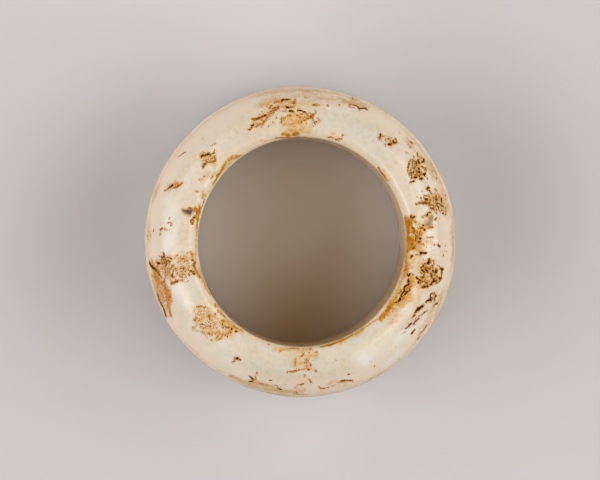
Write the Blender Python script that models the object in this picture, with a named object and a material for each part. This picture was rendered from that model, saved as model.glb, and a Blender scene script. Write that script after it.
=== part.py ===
"""Archer's thumb ring: one piece of pale nephrite, a thick round wall about a thumb bore.

Blender 4.5, metres, +Z up. The ring stands on its flat base at z = 0 with its bore on the Z axis.
Angles are in degrees, anticlockwise from +X as seen from above.
"""

import math

import bmesh
import bpy
import numpy as np

# Main sizes
BORE_DIAMETER = 0.0214
WALL = 0.0053
HEIGHT = 0.0240

# The domed end: a rounded lip at the bore, a narrow crest, then one long curve to the outer side
LIP_WIDTH = 0.0009
LIP_DEPTH = 0.0013
CREST_WIDTH = 0.0005
SHOULDER_DEPTH = 0.0050

# The outer side draws in a little towards the flat base, whose two edges are rounded
SIDE_TAPER = 0.0003
BASE_EDGE_RADIUS = 0.0012
BASE_LIP_RADIUS = 0.0009

# Wear and natural hollows in the pebble's skin
WEAR_DEPTH = 0.00014
HOLLOW_RADIUS = 0.0012
HOLLOW_DEPTH = 0.00024
CHIP_RADIUS = 0.0007
CHIP_DEPTH = 0.00022

# Steps around the axis, and along each stretch of the wall's section
STEPS_AROUND = 120
LIP_STEPS = 3
SHOULDER_STEPS = 9
SIDE_STEPS = 7
BASE_EDGE_STEPS = 3
BORE_STEPS = 5

# Each worn flat of the outline: angle, half its spread in degrees, share of WEAR_DEPTH
WORN_FLATS = (
    (2, 9, 0.55),
    (29, 7, 0.40),
    (77, 13, 0.80),
    (136, 7, 0.45),
    (203, 8, 0.55),
    (226, 7, 0.60),
    (241, 8, 1.00),
    (257, 7, 0.60),
)

# Each hollow on the domed end: angle and share across the wall of its two ends, then shares of
# HOLLOW_RADIUS and HOLLOW_DEPTH
END_HOLLOWS = (
    ("round scar", -13, 0.57, -12, 0.62, 1.10, 1.00),
    ("scar's neighbour", 11, 0.42, 10, 0.50, 0.85, 0.60),
    ("upper right skin", 18, 0.72, 16, 0.78, 1.00, 0.80),
    ("highest right skin", 31, 0.70, 35, 0.72, 1.05, 0.80),
    ("top band", 99, 0.70, 110, 0.42, 0.60, 0.70),
    ("top wedge", 91, 0.30, 87, 0.38, 0.90, 0.45),
    ("upper left pits", 138, 0.36, 140, 0.42, 0.65, 0.70),
    ("left skin, outer half", 189, 0.70, 197, 0.78, 1.05, 0.90),
    ("left skin, inner half", 191, 0.30, 196, 0.40, 0.85, 0.60),
    ("lower left skin", 219, 0.28, 228, 0.26, 1.00, 0.70),
    ("bottom skin", 271, 0.30, 274, 0.40, 0.80, 0.40),
    ("lower right crack", -24, 0.22, -33, 0.14, 0.45, 0.75),
    ("lower right pits", -30, 0.76, -38, 0.70, 0.55, 0.80),
)

# Each hollow on the outer side: angle and share of the height of its two ends, then the same shares
SIDE_HOLLOWS = (
    ("front skin", 262, 0.56, 274, 0.62, 1.50, 1.00),
    ("front low pit", 246, 0.24, 249, 0.30, 0.90, 0.80),
    ("right skin", 4, 0.44, -8, 0.60, 1.40, 1.00),
    ("right low skin", 22, 0.20, 30, 0.26, 1.10, 0.70),
    ("back skin", 84, 0.42, 97, 0.54, 1.50, 0.90),
    ("back low pit", 118, 0.22, 121, 0.30, 0.90, 0.80),
    ("left skin", 176, 0.34, 186, 0.58, 1.30, 1.00),
    ("left low pit", 207, 0.20, 211, 0.24, 0.90, 0.70),
)

# Chips in the lip of the bore: angle, share of CHIP_DEPTH
LIP_CHIPS = (
    (142, 0.80),
    (154, 1.00),
    (165, 0.70),
)

BORE_RADIUS = BORE_DIAMETER / 2
OUTER_RADIUS = BORE_RADIUS + WALL
CREST_START = BORE_RADIUS + LIP_WIDTH
CREST_END = CREST_START + CREST_WIDTH
SHOULDER_WIDTH = OUTER_RADIUS - CREST_END
SIDE_TOP = HEIGHT - SHOULDER_DEPTH
BASE_RADIUS = OUTER_RADIUS - SIDE_TAPER


def quarter_curve(centre, width, height, start, end, steps):
    """Points of an ellipse's arc in the section, from start to end degrees, both ends included."""
    points = []
    for step in range(steps + 1):
        turn = math.radians(start + (end - start) * step / steps)
        points.append((centre[0] + width * math.cos(turn), centre[1] + height * math.sin(turn)))
    return points


def side_radius(height):
    """Radius of the outer side at a height: widest where the shoulder starts, drawn in at the base."""
    drop = max(0.0, SIDE_TOP - height) / SIDE_TOP
    return OUTER_RADIUS - SIDE_TAPER * drop * drop


def end_height(radius):
    """Height of the domed end at a distance from the axis."""
    if radius < CREST_START:
        inward = (CREST_START - radius) / LIP_WIDTH
        return HEIGHT - LIP_DEPTH * (1 - math.sqrt(max(0.0, 1 - inward * inward)))
    if radius < CREST_END:
        return HEIGHT
    outward = min(1.0, (radius - CREST_END) / SHOULDER_WIDTH)
    return HEIGHT - SHOULDER_DEPTH * (1 - math.sqrt(1 - outward * outward))


def wall_section():
    """The wall's section as a closed outline of (distance from the axis, height)."""
    lip = quarter_curve(
        (CREST_START, HEIGHT - LIP_DEPTH), LIP_WIDTH, LIP_DEPTH, 180, 90, LIP_STEPS
    )
    shoulder = quarter_curve(
        (CREST_END, SIDE_TOP), SHOULDER_WIDTH, SHOULDER_DEPTH, 90, 0, SHOULDER_STEPS
    )
    base_edge = quarter_curve(
        (BASE_RADIUS - BASE_EDGE_RADIUS, BASE_EDGE_RADIUS),
        BASE_EDGE_RADIUS,
        BASE_EDGE_RADIUS,
        0,
        -90,
        BASE_EDGE_STEPS,
    )
    base_lip = quarter_curve(
        (BORE_RADIUS + BASE_LIP_RADIUS, BASE_LIP_RADIUS),
        BASE_LIP_RADIUS,
        BASE_LIP_RADIUS,
        -90,
        -180,
        LIP_STEPS,
    )
    side = []
    for step in range(1, SIDE_STEPS):
        height = SIDE_TOP + (BASE_EDGE_RADIUS - SIDE_TOP) * step / SIDE_STEPS
        side.append((side_radius(height), height))
    bore = []
    bore_top = HEIGHT - LIP_DEPTH
    for step in range(1, BORE_STEPS):
        height = BASE_LIP_RADIUS + (bore_top - BASE_LIP_RADIUS) * step / BORE_STEPS
        bore.append((BORE_RADIUS, height))
    return lip + shoulder + side + base_edge + base_lip + bore


def turned_wall(name):
    """The section spun about the axis into one closed mesh."""
    shape = bmesh.new()
    corners = [shape.verts.new((radius, 0.0, height)) for radius, height in wall_section()]
    loop = [
        shape.edges.new((corners[index], corners[(index + 1) % len(corners)]))
        for index in range(len(corners))
    ]
    bmesh.ops.spin(
        shape,
        geom=corners + loop,
        cent=(0, 0, 0),
        axis=(0, 0, 1),
        angle=2 * math.pi,
        steps=STEPS_AROUND,
        use_merge=True,
    )
    bmesh.ops.recalc_face_normals(shape, faces=shape.faces)
    mesh = bpy.data.meshes.new(name)
    shape.to_mesh(mesh)
    shape.free()
    return mesh


def polar(radius, angle, height):
    """The point at this distance from the axis, angle and height."""
    turn = math.radians(angle)
    return np.array((radius * math.cos(turn), radius * math.sin(turn), height))


def on_end(angle, across):
    """A point of the domed end, from 0 at the bore to 1 at the outer side."""
    radius = BORE_RADIUS + WALL * across
    return polar(radius, angle, end_height(radius))


def on_side(angle, up):
    """A point of the outer side, from 0 at the base to 1 at the top."""
    height = HEIGHT * up
    return polar(side_radius(height), angle, height)


def hollow(points, first, second, radius, depth):
    """How deep each point lies in a hollow that runs from first to second."""
    run = second - first
    along = np.clip((points - first) @ run / max(run @ run, 1e-18), 0, 1)
    away = np.linalg.norm(points - first - along[:, None] * run, axis=1)
    return depth * np.clip(1 - (away / radius) ** 2, 0, 1) ** 2


def outline_wear(points):
    """How far the outer side is worn in towards the axis at each point: all of it at the side, none at the crest."""
    radius = np.hypot(points[:, 0], points[:, 1])
    angle = np.degrees(np.arctan2(points[:, 1], points[:, 0]))
    worn = np.zeros(len(points))
    for centre, spread, share in WORN_FLATS:
        away = (angle - centre + 180) % 360 - 180
        worn += share * WEAR_DEPTH * np.exp(-((away / spread) ** 2))
    reach = np.clip((radius - CREST_END) / SHOULDER_WIDTH, 0, 1)
    return worn * reach * (points[:, 2] > BASE_EDGE_RADIUS)


def hollow_depths(points):
    """The depth of the deepest hollow or chip at each point. The flat base has none."""
    depth = np.zeros(len(points))
    for place, hollows in ((on_end, END_HOLLOWS), (on_side, SIDE_HOLLOWS)):
        for _, angle, share, end_angle, end_share, size, deep in hollows:
            first = place(angle, share)
            second = place(end_angle, end_share)
            found = hollow(points, first, second, size * HOLLOW_RADIUS, deep * HOLLOW_DEPTH)
            depth = np.maximum(depth, found)
    lip_share = LIP_WIDTH / WALL / 2
    for angle, deep in LIP_CHIPS:
        chip = on_end(angle, lip_share)
        depth = np.maximum(depth, hollow(points, chip, chip, CHIP_RADIUS, deep * CHIP_DEPTH))
    return depth * (points[:, 2] > BASE_EDGE_RADIUS)


def wear_surface(mesh):
    """Moves the true turned surface in to the ring's worn outline and natural hollows."""
    count = len(mesh.vertices)
    points = np.empty(count * 3)
    mesh.vertices.foreach_get("co", points)
    points = points.reshape(-1, 3)
    normals = np.array([vertex.normal for vertex in mesh.vertices])
    outward = points * (1, 1, 0)
    outward /= np.linalg.norm(outward, axis=1)[:, None]
    moved = points - outward * outline_wear(points)[:, None]
    moved -= normals * hollow_depths(points)[:, None]
    mesh.vertices.foreach_set("co", moved.ravel())
    mesh.update()


def nephrite():
    """Polished pale nephrite."""
    material = bpy.data.materials.new("nephrite")
    material.use_nodes = True
    shader = material.node_tree.nodes["Principled BSDF"]
    shader.inputs["Base Color"].default_value = (0.70, 0.62, 0.50, 1.0)
    shader.inputs["Roughness"].default_value = 0.28
    shader.inputs["Metallic"].default_value = 0.0
    return material


def make_thumb_ring():
    """The whole object: one carved and polished piece."""
    name = "thumb_ring"
    mesh = turned_wall(name)
    wear_surface(mesh)
    mesh.shade_smooth()
    mesh.materials.append(nephrite())
    ring = bpy.data.objects.new(name, mesh)
    bpy.context.scene.collection.objects.link(ring)
    return ring


def main():
    for old in list(bpy.data.objects):
        bpy.data.objects.remove(old)
    make_thumb_ring()


main()
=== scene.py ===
"""Archer's thumb ring of pale nephrite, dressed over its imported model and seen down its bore.

Blender 4.5, metres, +Z up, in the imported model's frame: the ring stands on its flat base at z = 0
with its bore on the Z axis. Marks that the photograph shows are placed by its pixels, 600 by 480,
x to the right and y down. Everywhere else angles are degrees, anticlockwise from +X.
"""

import math

import bpy
import numpy as np
from mathutils import Matrix, Vector


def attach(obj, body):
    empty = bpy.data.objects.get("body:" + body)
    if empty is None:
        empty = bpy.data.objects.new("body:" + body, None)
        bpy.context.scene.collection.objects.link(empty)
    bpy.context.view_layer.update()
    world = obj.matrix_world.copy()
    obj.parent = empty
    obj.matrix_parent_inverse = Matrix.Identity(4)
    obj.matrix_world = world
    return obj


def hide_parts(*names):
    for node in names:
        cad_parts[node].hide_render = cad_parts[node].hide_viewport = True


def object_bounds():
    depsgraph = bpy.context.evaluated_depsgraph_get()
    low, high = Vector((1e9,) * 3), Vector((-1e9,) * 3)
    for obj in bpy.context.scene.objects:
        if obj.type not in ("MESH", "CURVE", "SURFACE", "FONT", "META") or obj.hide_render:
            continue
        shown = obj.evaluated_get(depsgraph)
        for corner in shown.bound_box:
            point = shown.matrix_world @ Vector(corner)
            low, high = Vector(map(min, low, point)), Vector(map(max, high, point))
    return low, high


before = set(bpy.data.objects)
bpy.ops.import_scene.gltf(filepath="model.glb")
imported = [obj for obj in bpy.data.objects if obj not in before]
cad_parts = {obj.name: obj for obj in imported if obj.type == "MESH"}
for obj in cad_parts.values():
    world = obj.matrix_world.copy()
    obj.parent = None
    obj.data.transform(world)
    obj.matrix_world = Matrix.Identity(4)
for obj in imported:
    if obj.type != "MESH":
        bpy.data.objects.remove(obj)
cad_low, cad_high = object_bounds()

MM = 0.001

# The section of the wall, as in the solid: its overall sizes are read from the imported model
HEIGHT = cad_high.z
OUTER_RADIUS = -cad_low.x
BORE_RADIUS = min(math.hypot(*vertex.co.xy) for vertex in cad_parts["thumb_ring"].data.vertices)
LIP_WIDTH = 0.9 * MM
LIP_DEPTH = 1.3 * MM
CREST_WIDTH = 0.5 * MM
SHOULDER_DEPTH = 5.0 * MM
SIDE_TAPER = 0.3 * MM
BASE_EDGE_RADIUS = 1.2 * MM
BASE_LIP_RADIUS = 0.9 * MM
WALL = OUTER_RADIUS - BORE_RADIUS
CREST_START = BORE_RADIUS + LIP_WIDTH
CREST_END = CREST_START + CREST_WIDTH
SHOULDER_WIDTH = OUTER_RADIUS - CREST_END
SIDE_TOP = HEIGHT - SHOULDER_DEPTH
BASE_RADIUS = OUTER_RADIUS - SIDE_TAPER
BASE_EDGE_CENTRE = (BASE_RADIUS - BASE_EDGE_RADIUS, BASE_EDGE_RADIUS)
BASE_LIP_CENTRE = (BORE_RADIUS + BASE_LIP_RADIUS, BASE_LIP_RADIUS)

# The mesh: the domed end has twice as many columns around the axis, since it carries the finest marks,
# and takes in this much of the bore and of the side
END_COLUMNS = 800
BODY_COLUMNS = END_COLUMNS // 2
END_BORE = 0.6 * MM
END_SIDE = 1.4 * MM

# Steps along each stretch of the section
END_BORE_STEPS = 4
LIP_STEPS = 16
CREST_STEPS = 4
SHOULDER_STEPS = 62
END_SIDE_STEPS = 7
SIDE_STEPS = 34
BASE_EDGE_STEPS = 5
BASE_STEPS = 4
BASE_LIP_STEPS = 4
BORE_STEPS = 10

# The photograph: its size, the pixel on the ring's axis and the ring's outer radius there. Then the
# camera's place, the width of its sensor in millimetres and the nearest that it sees.
PHOTO_WIDTH = 600
PHOTO_HEIGHT = 480
AXIS_X = 300.3
AXIS_Y = 241.7
OUTLINE_PIXELS = 155.7
PIXEL = OUTER_RADIUS / OUTLINE_PIXELS
CAMERA_PLACE = Vector((-0.0078, 0.0031, 0.632))
SENSOR_WIDTH = 36.0
NEAREST_SIGHT = 0.01

# The studio: the floor, and soft lights, all at one distance, each with its azimuth, elevation, width,
# height, power in watts and colour
FLOOR_SIZE = 6.0
FLOOR_GREY = (0.62, 0.593, 0.584, 1.0)
FLOOR_ROUGHNESS = 0.9
LIGHT_DISTANCE = 0.9
ROSY = (1.0, 0.978, 0.984)
WARM = (1.0, 0.92, 0.84)
WHITE = (1.0, 1.0, 1.0)
SOFTBOXES = (
    ("left_back_softbox", 160, 45, 0.45, 0.50, 1.1, ROSY),
    ("left_softbox", 180, 45, 0.45, 0.50, 0.7, ROSY),
    ("left_low_softbox", 185, 24, 0.45, 0.35, 0.9, ROSY),
    ("left_front_softbox", 200, 60, 0.45, 0.50, 1.8, ROSY),
    ("front_left_softbox", 220, 45, 0.45, 0.50, 1.3, ROSY),
    ("right_front_softbox", -20, 60, 0.45, 0.50, 2.7, WHITE),
    ("right_back_softbox", 20, 45, 0.45, 0.50, 2.0, WHITE),
    ("right_low_softbox", -8, 24, 0.45, 0.35, 1.25, WARM),
    ("back_softbox", 90, 20, 0.60, 0.40, 1.5, WHITE),
)

# Placing marks: pixels or degrees between a stroke's points, how often the end of a sight line and the
# wear under it are sought again, a step short enough to take a slope from, and a divisor in place of 0
STROKE_STEP = 2.5
SIGHT_ROUNDS = 6
WEAR_ROUNDS = 3
NEARLY_FLAT = 0.01 * MM
NEARLY_NOTHING = 1e-18

# Drawing marks, in half widths: the farthest that any reaches, where a halo and a patch end, and over
# how much a patch fades. Then the share of a mark's own depth that it is moved for, and how strong
# the halo of a brown line is beside a pit's.
MARK_REACH = 3.7
HALO_REACH = 3.6
PATCH_REACH = 1.3
PATCH_FADE = 0.8
MARK_SINK = 0.6
RUST_HALO = 0.7

# Noise: the cells of its table, and the angle and the stretch of the stone's grain
LATTICE = 32
GRAIN_ANGLE = 40.0
GRAIN_STRETCH = 2.2

# How unevenly each kind of mark is drawn: the size of the noise's lumps, how far it moves a point, its seed
RAGGED = (0.22 * MM, 0.035 * MM, 11)
UNEVEN = (0.45 * MM, 0.12 * MM, 17)
LOOSE = (0.7 * MM, 0.22 * MM, 23)
LOOSE_EDGE = (0.25 * MM, 0.08 * MM, 29)

# The noise in the flecks, in the skin and in the polished surface: the size of its lumps and its seed
FLECK_NOISE = (0.26 * MM, 41)
FINE_FLECK_NOISE = (0.13 * MM, 47)
SKIN_NOISE = (0.30 * MM, 61)
WAVE_NOISE = (4.0 * MM, 71)

# Where that noise makes a fleck: its level, how much lower that is in the thick of a patch, how soft
# a fleck's edge is, and the patch's strength below which there are none
FLECK_LEVEL = 0.70
FLECK_CROWDING = 0.24
FLECK_EDGE = 0.12
FLECK_LIMIT = 0.08

# How deep the polished surface is broken: pits and lines, and the gentle waves left by the polishing
PIT_DEPTH = 0.11 * MM
RUST_DEPTH = 0.05 * MM
FLECK_DEPTH = 0.07 * MM
SKIN_DEPTH = 0.04 * MM
WAVE_DEPTH = 0.02 * MM
WEAR_DEPTH = 0.14 * MM
HOLLOW_RADIUS = 1.2 * MM
HOLLOW_DEPTH = 0.24 * MM
CHIP_RADIUS = 0.7 * MM
CHIP_DEPTH = 0.22 * MM

# Above the base's edge the wear sets in over this height
WEAR_BLEND = 1.5 * MM

# The edge of the bore leans in at its left: how far, around which angle, how sharply, and how much of the
# end and of the height it takes with it
LEAN = 0.22 * MM
LEAN_ANGLE = 162.0
LEAN_POWER = 1.5
LEAN_WIDTH = 1.4 * MM
LEAN_HEIGHT = 3.0 * MM

# Zones of the stone: how far each reaches in from the outline or out from the bore, and over how much
# it blends in or fades. The shoulder, the outline and the lip are painted with glow. The bore's colour
# starts a little above the foot of the lip, and painted shade on its wall lies around one angle.
SHOULDER_START = 2.2 * MM
SHOULDER_BLEND = 1.6 * MM
SHOULDER_FADE = 5.0 * MM
RIM_WIDTH = 0.85 * MM
RIM_POWER = 1.7
RIM_FADE = 2.5 * MM
THIN_WIDTH = 0.5 * MM
BORE_WIDTH = 0.3 * MM
BORE_START = 0.2 * MM
BORE_BLEND = 1.2 * MM
BORE_SHADE_ANGLE = -17.0
BORE_SHADE_SPREAD = 16.0

# Colours of the stone and of what stains it, with painted light among them: glow, highlight and shade
CREAM = (0.75, 0.635, 0.475, 1.0)
PALE = (0.775, 0.685, 0.555, 1.0)
# Cool cloud colour, also painted shade at the top and bottom of the domed end
CLOUD_AND_SHADE_GREY = (0.70, 0.655, 0.565, 1.0)
SPECK_TAN = (0.60, 0.47, 0.30, 1.0)
# Milky cloud colour, also painted highlight on the shoulder at left and right
MILK_AND_HIGHLIGHT_WHITE = (0.88, 0.84, 0.77, 1.0)
# Painted light: the paler glow of the shoulder
SHOULDER_PAINTED_GLOW = (0.88, 0.765, 0.61, 1.0)
# Painted light: the pale glow of the thin stone at the bore's lip
LIP_PAINTED_GLOW = (1.0, 0.86, 0.64, 1.0)
STAIN_OCHRE = (0.63, 0.325, 0.026, 1.0)
BORE_TAN = (0.80, 0.61, 0.35, 1.0)
# Painted shade on the bore's wall at its right
BORE_PAINTED_SHADE = (0.46, 0.27, 0.02, 1.0)
# Painted light: the warm glow along the outline
OUTLINE_PAINTED_GLOW = (0.92, 0.65, 0.365, 1.0)
SKIN_TAN = (0.73, 0.48, 0.23, 1.0)
SKIN_OCHRE = (0.60, 0.33, 0.09, 1.0)
SMEAR_ORANGE = (0.60, 0.225, 0.022, 1.0)
GREY = (0.095, 0.058, 0.048, 1.0)
OLIVE_GREY = (0.27, 0.225, 0.10, 1.0)
AMBER_GOLD = (0.61, 0.295, 0.018, 1.0)
AMBER_DEEP = (0.48, 0.16, 0.003, 1.0)
HALO_GOLD = (0.64, 0.34, 0.075, 1.0)
FRINGE_OCHRE = (0.56, 0.262, 0.038, 1.0)
RUST_BROWN = (0.29, 0.098, 0.009, 1.0)
FLECK_BROWN = (0.43, 0.165, 0.020, 1.0)
FLECK_DARK = (0.105, 0.030, 0.004, 1.0)
PIT_BROWN = (0.20, 0.062, 0.003, 1.0)
PIT_BLACK = (0.040, 0.010, 0.001, 1.0)
# Painted highlight: the glints on the lip and on scar edges
PAINTED_GLINT_PALE = (0.88, 0.81, 0.69, 1.0)

# The light that clean stone takes in and gives back softly: the strengths of a mark between which it
# fades, its share at each, and how far each colour goes
GLOW = (0.0, 0.5, 0.8, 0.0)
GLOW_COLOURS = (1.0, 0.7, 0.45)
GLOW_REACH = 3.0 * MM

# Noise in the material: the size of its lumps, its detail, the two levels that it is stretched between
# and what it becomes at each. In the polish that is the roughness of the stone.
CLOUDING = (4.0 * MM, 2, 0.36, 0.64, 0.0, 1.0)
WISPS = (1.6 * MM, 3, 0.36, 0.62, 0.5, 1.0)
SPECKS = (0.45 * MM, 5, 0.42, 0.68, 0.0, 0.28)
RIM_PATCHES = (3.0 * MM, 2, 0.35, 0.65, 0.3, 1.0)
STAIN_GRAIN = (0.22 * MM, 4, 0.34, 0.64, 0.68, 1.10)
SKIN_MOTTLE = (0.4 * MM, 4, 0.4, 0.68, 0.0, 1.0)
SKIN_BREAKS = (0.5 * MM, 4, 0.3, 0.65, 0.45, 1.4)
HALO_BREAKS = (0.35 * MM, 3, 0.32, 0.66, 0.55, 1.25)
FLECK_GROUPS = (0.4 * MM, 2, 0.3, 0.7, -0.07, 0.07)
POLISH = (0.9 * MM, 3, 0.3, 0.7, 0.13, 0.20)

# Noise that is used as it is: the size of its lumps and its detail
GOLD_NOISE = (0.4 * MM, 3)
GRAIN_NOISE = (0.14 * MM, 2)
GRIT_NOISE = (0.12 * MM, 4)

# The edge of each kind of mark: the lumps of the noise that breaks it up, and how strongly. That noise
# has one detail and one stretch, and comes in where a mark's strength rises from 0 to EDGE_START.
STAIN_EDGE = (0.5 * MM, 0.3)
SMEAR_EDGE = (0.22 * MM, 0.7)
ASH_EDGE = (0.25 * MM, 0.2)
OLIVE_EDGE = (0.25 * MM, 0.3)
AMBER_EDGE = (0.3 * MM, 0.4)
RUST_EDGE = (0.16 * MM, 0.6)
PIT_EDGE = (0.16 * MM, 0.5)
# Edge of the painted glints
PAINTED_GLINT_EDGE = (0.15 * MM, 0.2)
EDGE_DETAIL = 3
EDGE_STRETCH = (0.3, 0.7)
EDGE_START = 0.25

# The levels between which each colour sets in, followed by its cover at the two where that doesn't
# go from 0 to 1
# The cool clouds carry painted shade and the milky clouds painted highlight; the bore's levels are for
# painted shade on its wall
CLOUD_AND_SHADE_LEVELS = (0.1, 0.9)
MILK_AND_HIGHLIGHT_LEVELS = (0.0, 0.9)
BORE_SHADE_LEVELS = (0.0, 1.0, 0.0, 0.7)
STAIN_LEVELS = (0.05, 1.1, 0.0, 0.85)
SKIN_LEVELS = (0.08, 0.8, 0.0, 0.9)
SMEAR_LEVELS = (0.15, 0.95, 0.0, 0.9)
ASH_LEVELS = (0.0, 1.0)
OLIVE_LEVELS = (0.15, 0.9, 0.0, 0.8)
AMBER_LEVELS = (0.05, 0.65)
GOLD_LEVELS = (0.38, 0.62)
HALO_LEVELS = (0.16, 0.66, 0.0, 0.85)
FRINGE_LEVELS = (0.05, 0.34, 0.0, 0.85)
RUST_LEVELS = (0.38, 0.56)
# Levels of the painted glints
PAINTED_GLINT_LEVELS = (0.4, 0.75)
PIT_BROWN_LEVELS = (0.34, 0.49)
PIT_BLACK_LEVELS = (0.50, 0.70, 0.0, 0.97)
PATCH_LEVELS = (0.05, 0.3)
FLECK_BROWN_LEVELS = (0.64, 0.68)
FLECK_DARK_LEVELS = (0.69, 0.76)

# What a mark does besides: the middle of the amber stain is less golden, and the grains of the skin
# are larger in a fleck and in the thick of a patch
AMBER_DEEPENING = (0.3, 1.0, 0.14, -0.10)
FLECK_LIFT = (0.0, 1.0, 0.0, 0.04)
PATCH_LIFT = (0.0, 1.0, 0.0, 0.12)

# The surface, by how dull it is: what that adds to its roughness, and its shine. Stains and the rim
# have a share of broken stone's dullness, and the stone of a pit is broken between these levels.
ROUGHENING = (0.0, 1.0, 0.0, 0.55)
SHINE = (0.0, 0.7, 0.38, 0.02)
STAIN_DULLNESS = 0.6
RIM_DULLNESS = 0.5
BROKEN_LEVELS = (0.12, 0.5)
GRIT_STRENGTH = 0.5
GRIT_DEPTH = 0.03 * MM

# The colour sockets of a Mix node, which has others of the same names
MIX_UNDER = 6
MIX_OVER = 7
MIX_RESULT = 2

# Each worn flat of the outline: angle, half its spread in degrees, share of WEAR_DEPTH
WORN_FLATS = (
    (2, 9, 0.55),
    (29, 7, 0.40),
    (77, 13, 0.80),
    (136, 7, 0.45),
    (203, 8, 0.55),
    (226, 7, 0.60),
    (241, 8, 1.00),
    (257, 7, 0.60),
)

# Each hollow on the domed end: angle and share across the wall of its two ends, then shares of
# HOLLOW_RADIUS and HOLLOW_DEPTH
END_HOLLOWS = (
    (-13, 0.57, -12, 0.62, 1.10, 1.00),
    (11, 0.42, 10, 0.50, 0.85, 0.60),
    (18, 0.72, 16, 0.78, 1.00, 0.80),
    (31, 0.70, 35, 0.72, 1.05, 0.80),
    (99, 0.70, 110, 0.42, 0.60, 0.70),
    (91, 0.30, 87, 0.38, 0.90, 0.45),
    (138, 0.36, 140, 0.42, 0.65, 0.70),
    (189, 0.70, 197, 0.78, 1.05, 0.90),
    (191, 0.30, 196, 0.40, 0.85, 0.60),
    (219, 0.28, 228, 0.26, 1.00, 0.70),
    (271, 0.30, 274, 0.40, 0.80, 0.40),
    (-24, 0.22, -33, 0.14, 0.45, 0.75),
    (-30, 0.76, -38, 0.70, 0.55, 0.80),
)

# Each hollow on the outer side: angle and share of the height of its two ends, then the same shares
SIDE_HOLLOWS = (
    (262, 0.56, 274, 0.62, 1.50, 1.00),
    (246, 0.24, 249, 0.30, 0.90, 0.80),
    (4, 0.44, -8, 0.60, 1.40, 1.00),
    (22, 0.20, 30, 0.26, 1.10, 0.70),
    (84, 0.42, 97, 0.54, 1.50, 0.90),
    (118, 0.22, 121, 0.30, 0.90, 0.80),
    (176, 0.34, 186, 0.58, 1.30, 1.00),
    (207, 0.20, 211, 0.24, 0.90, 0.70),
)

# Chips in the lip of the bore: angle, share of CHIP_DEPTH
LIP_CHIPS = (
    (142, 0.80),
    (154, 1.00),
    (165, 0.70),
)

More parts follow.
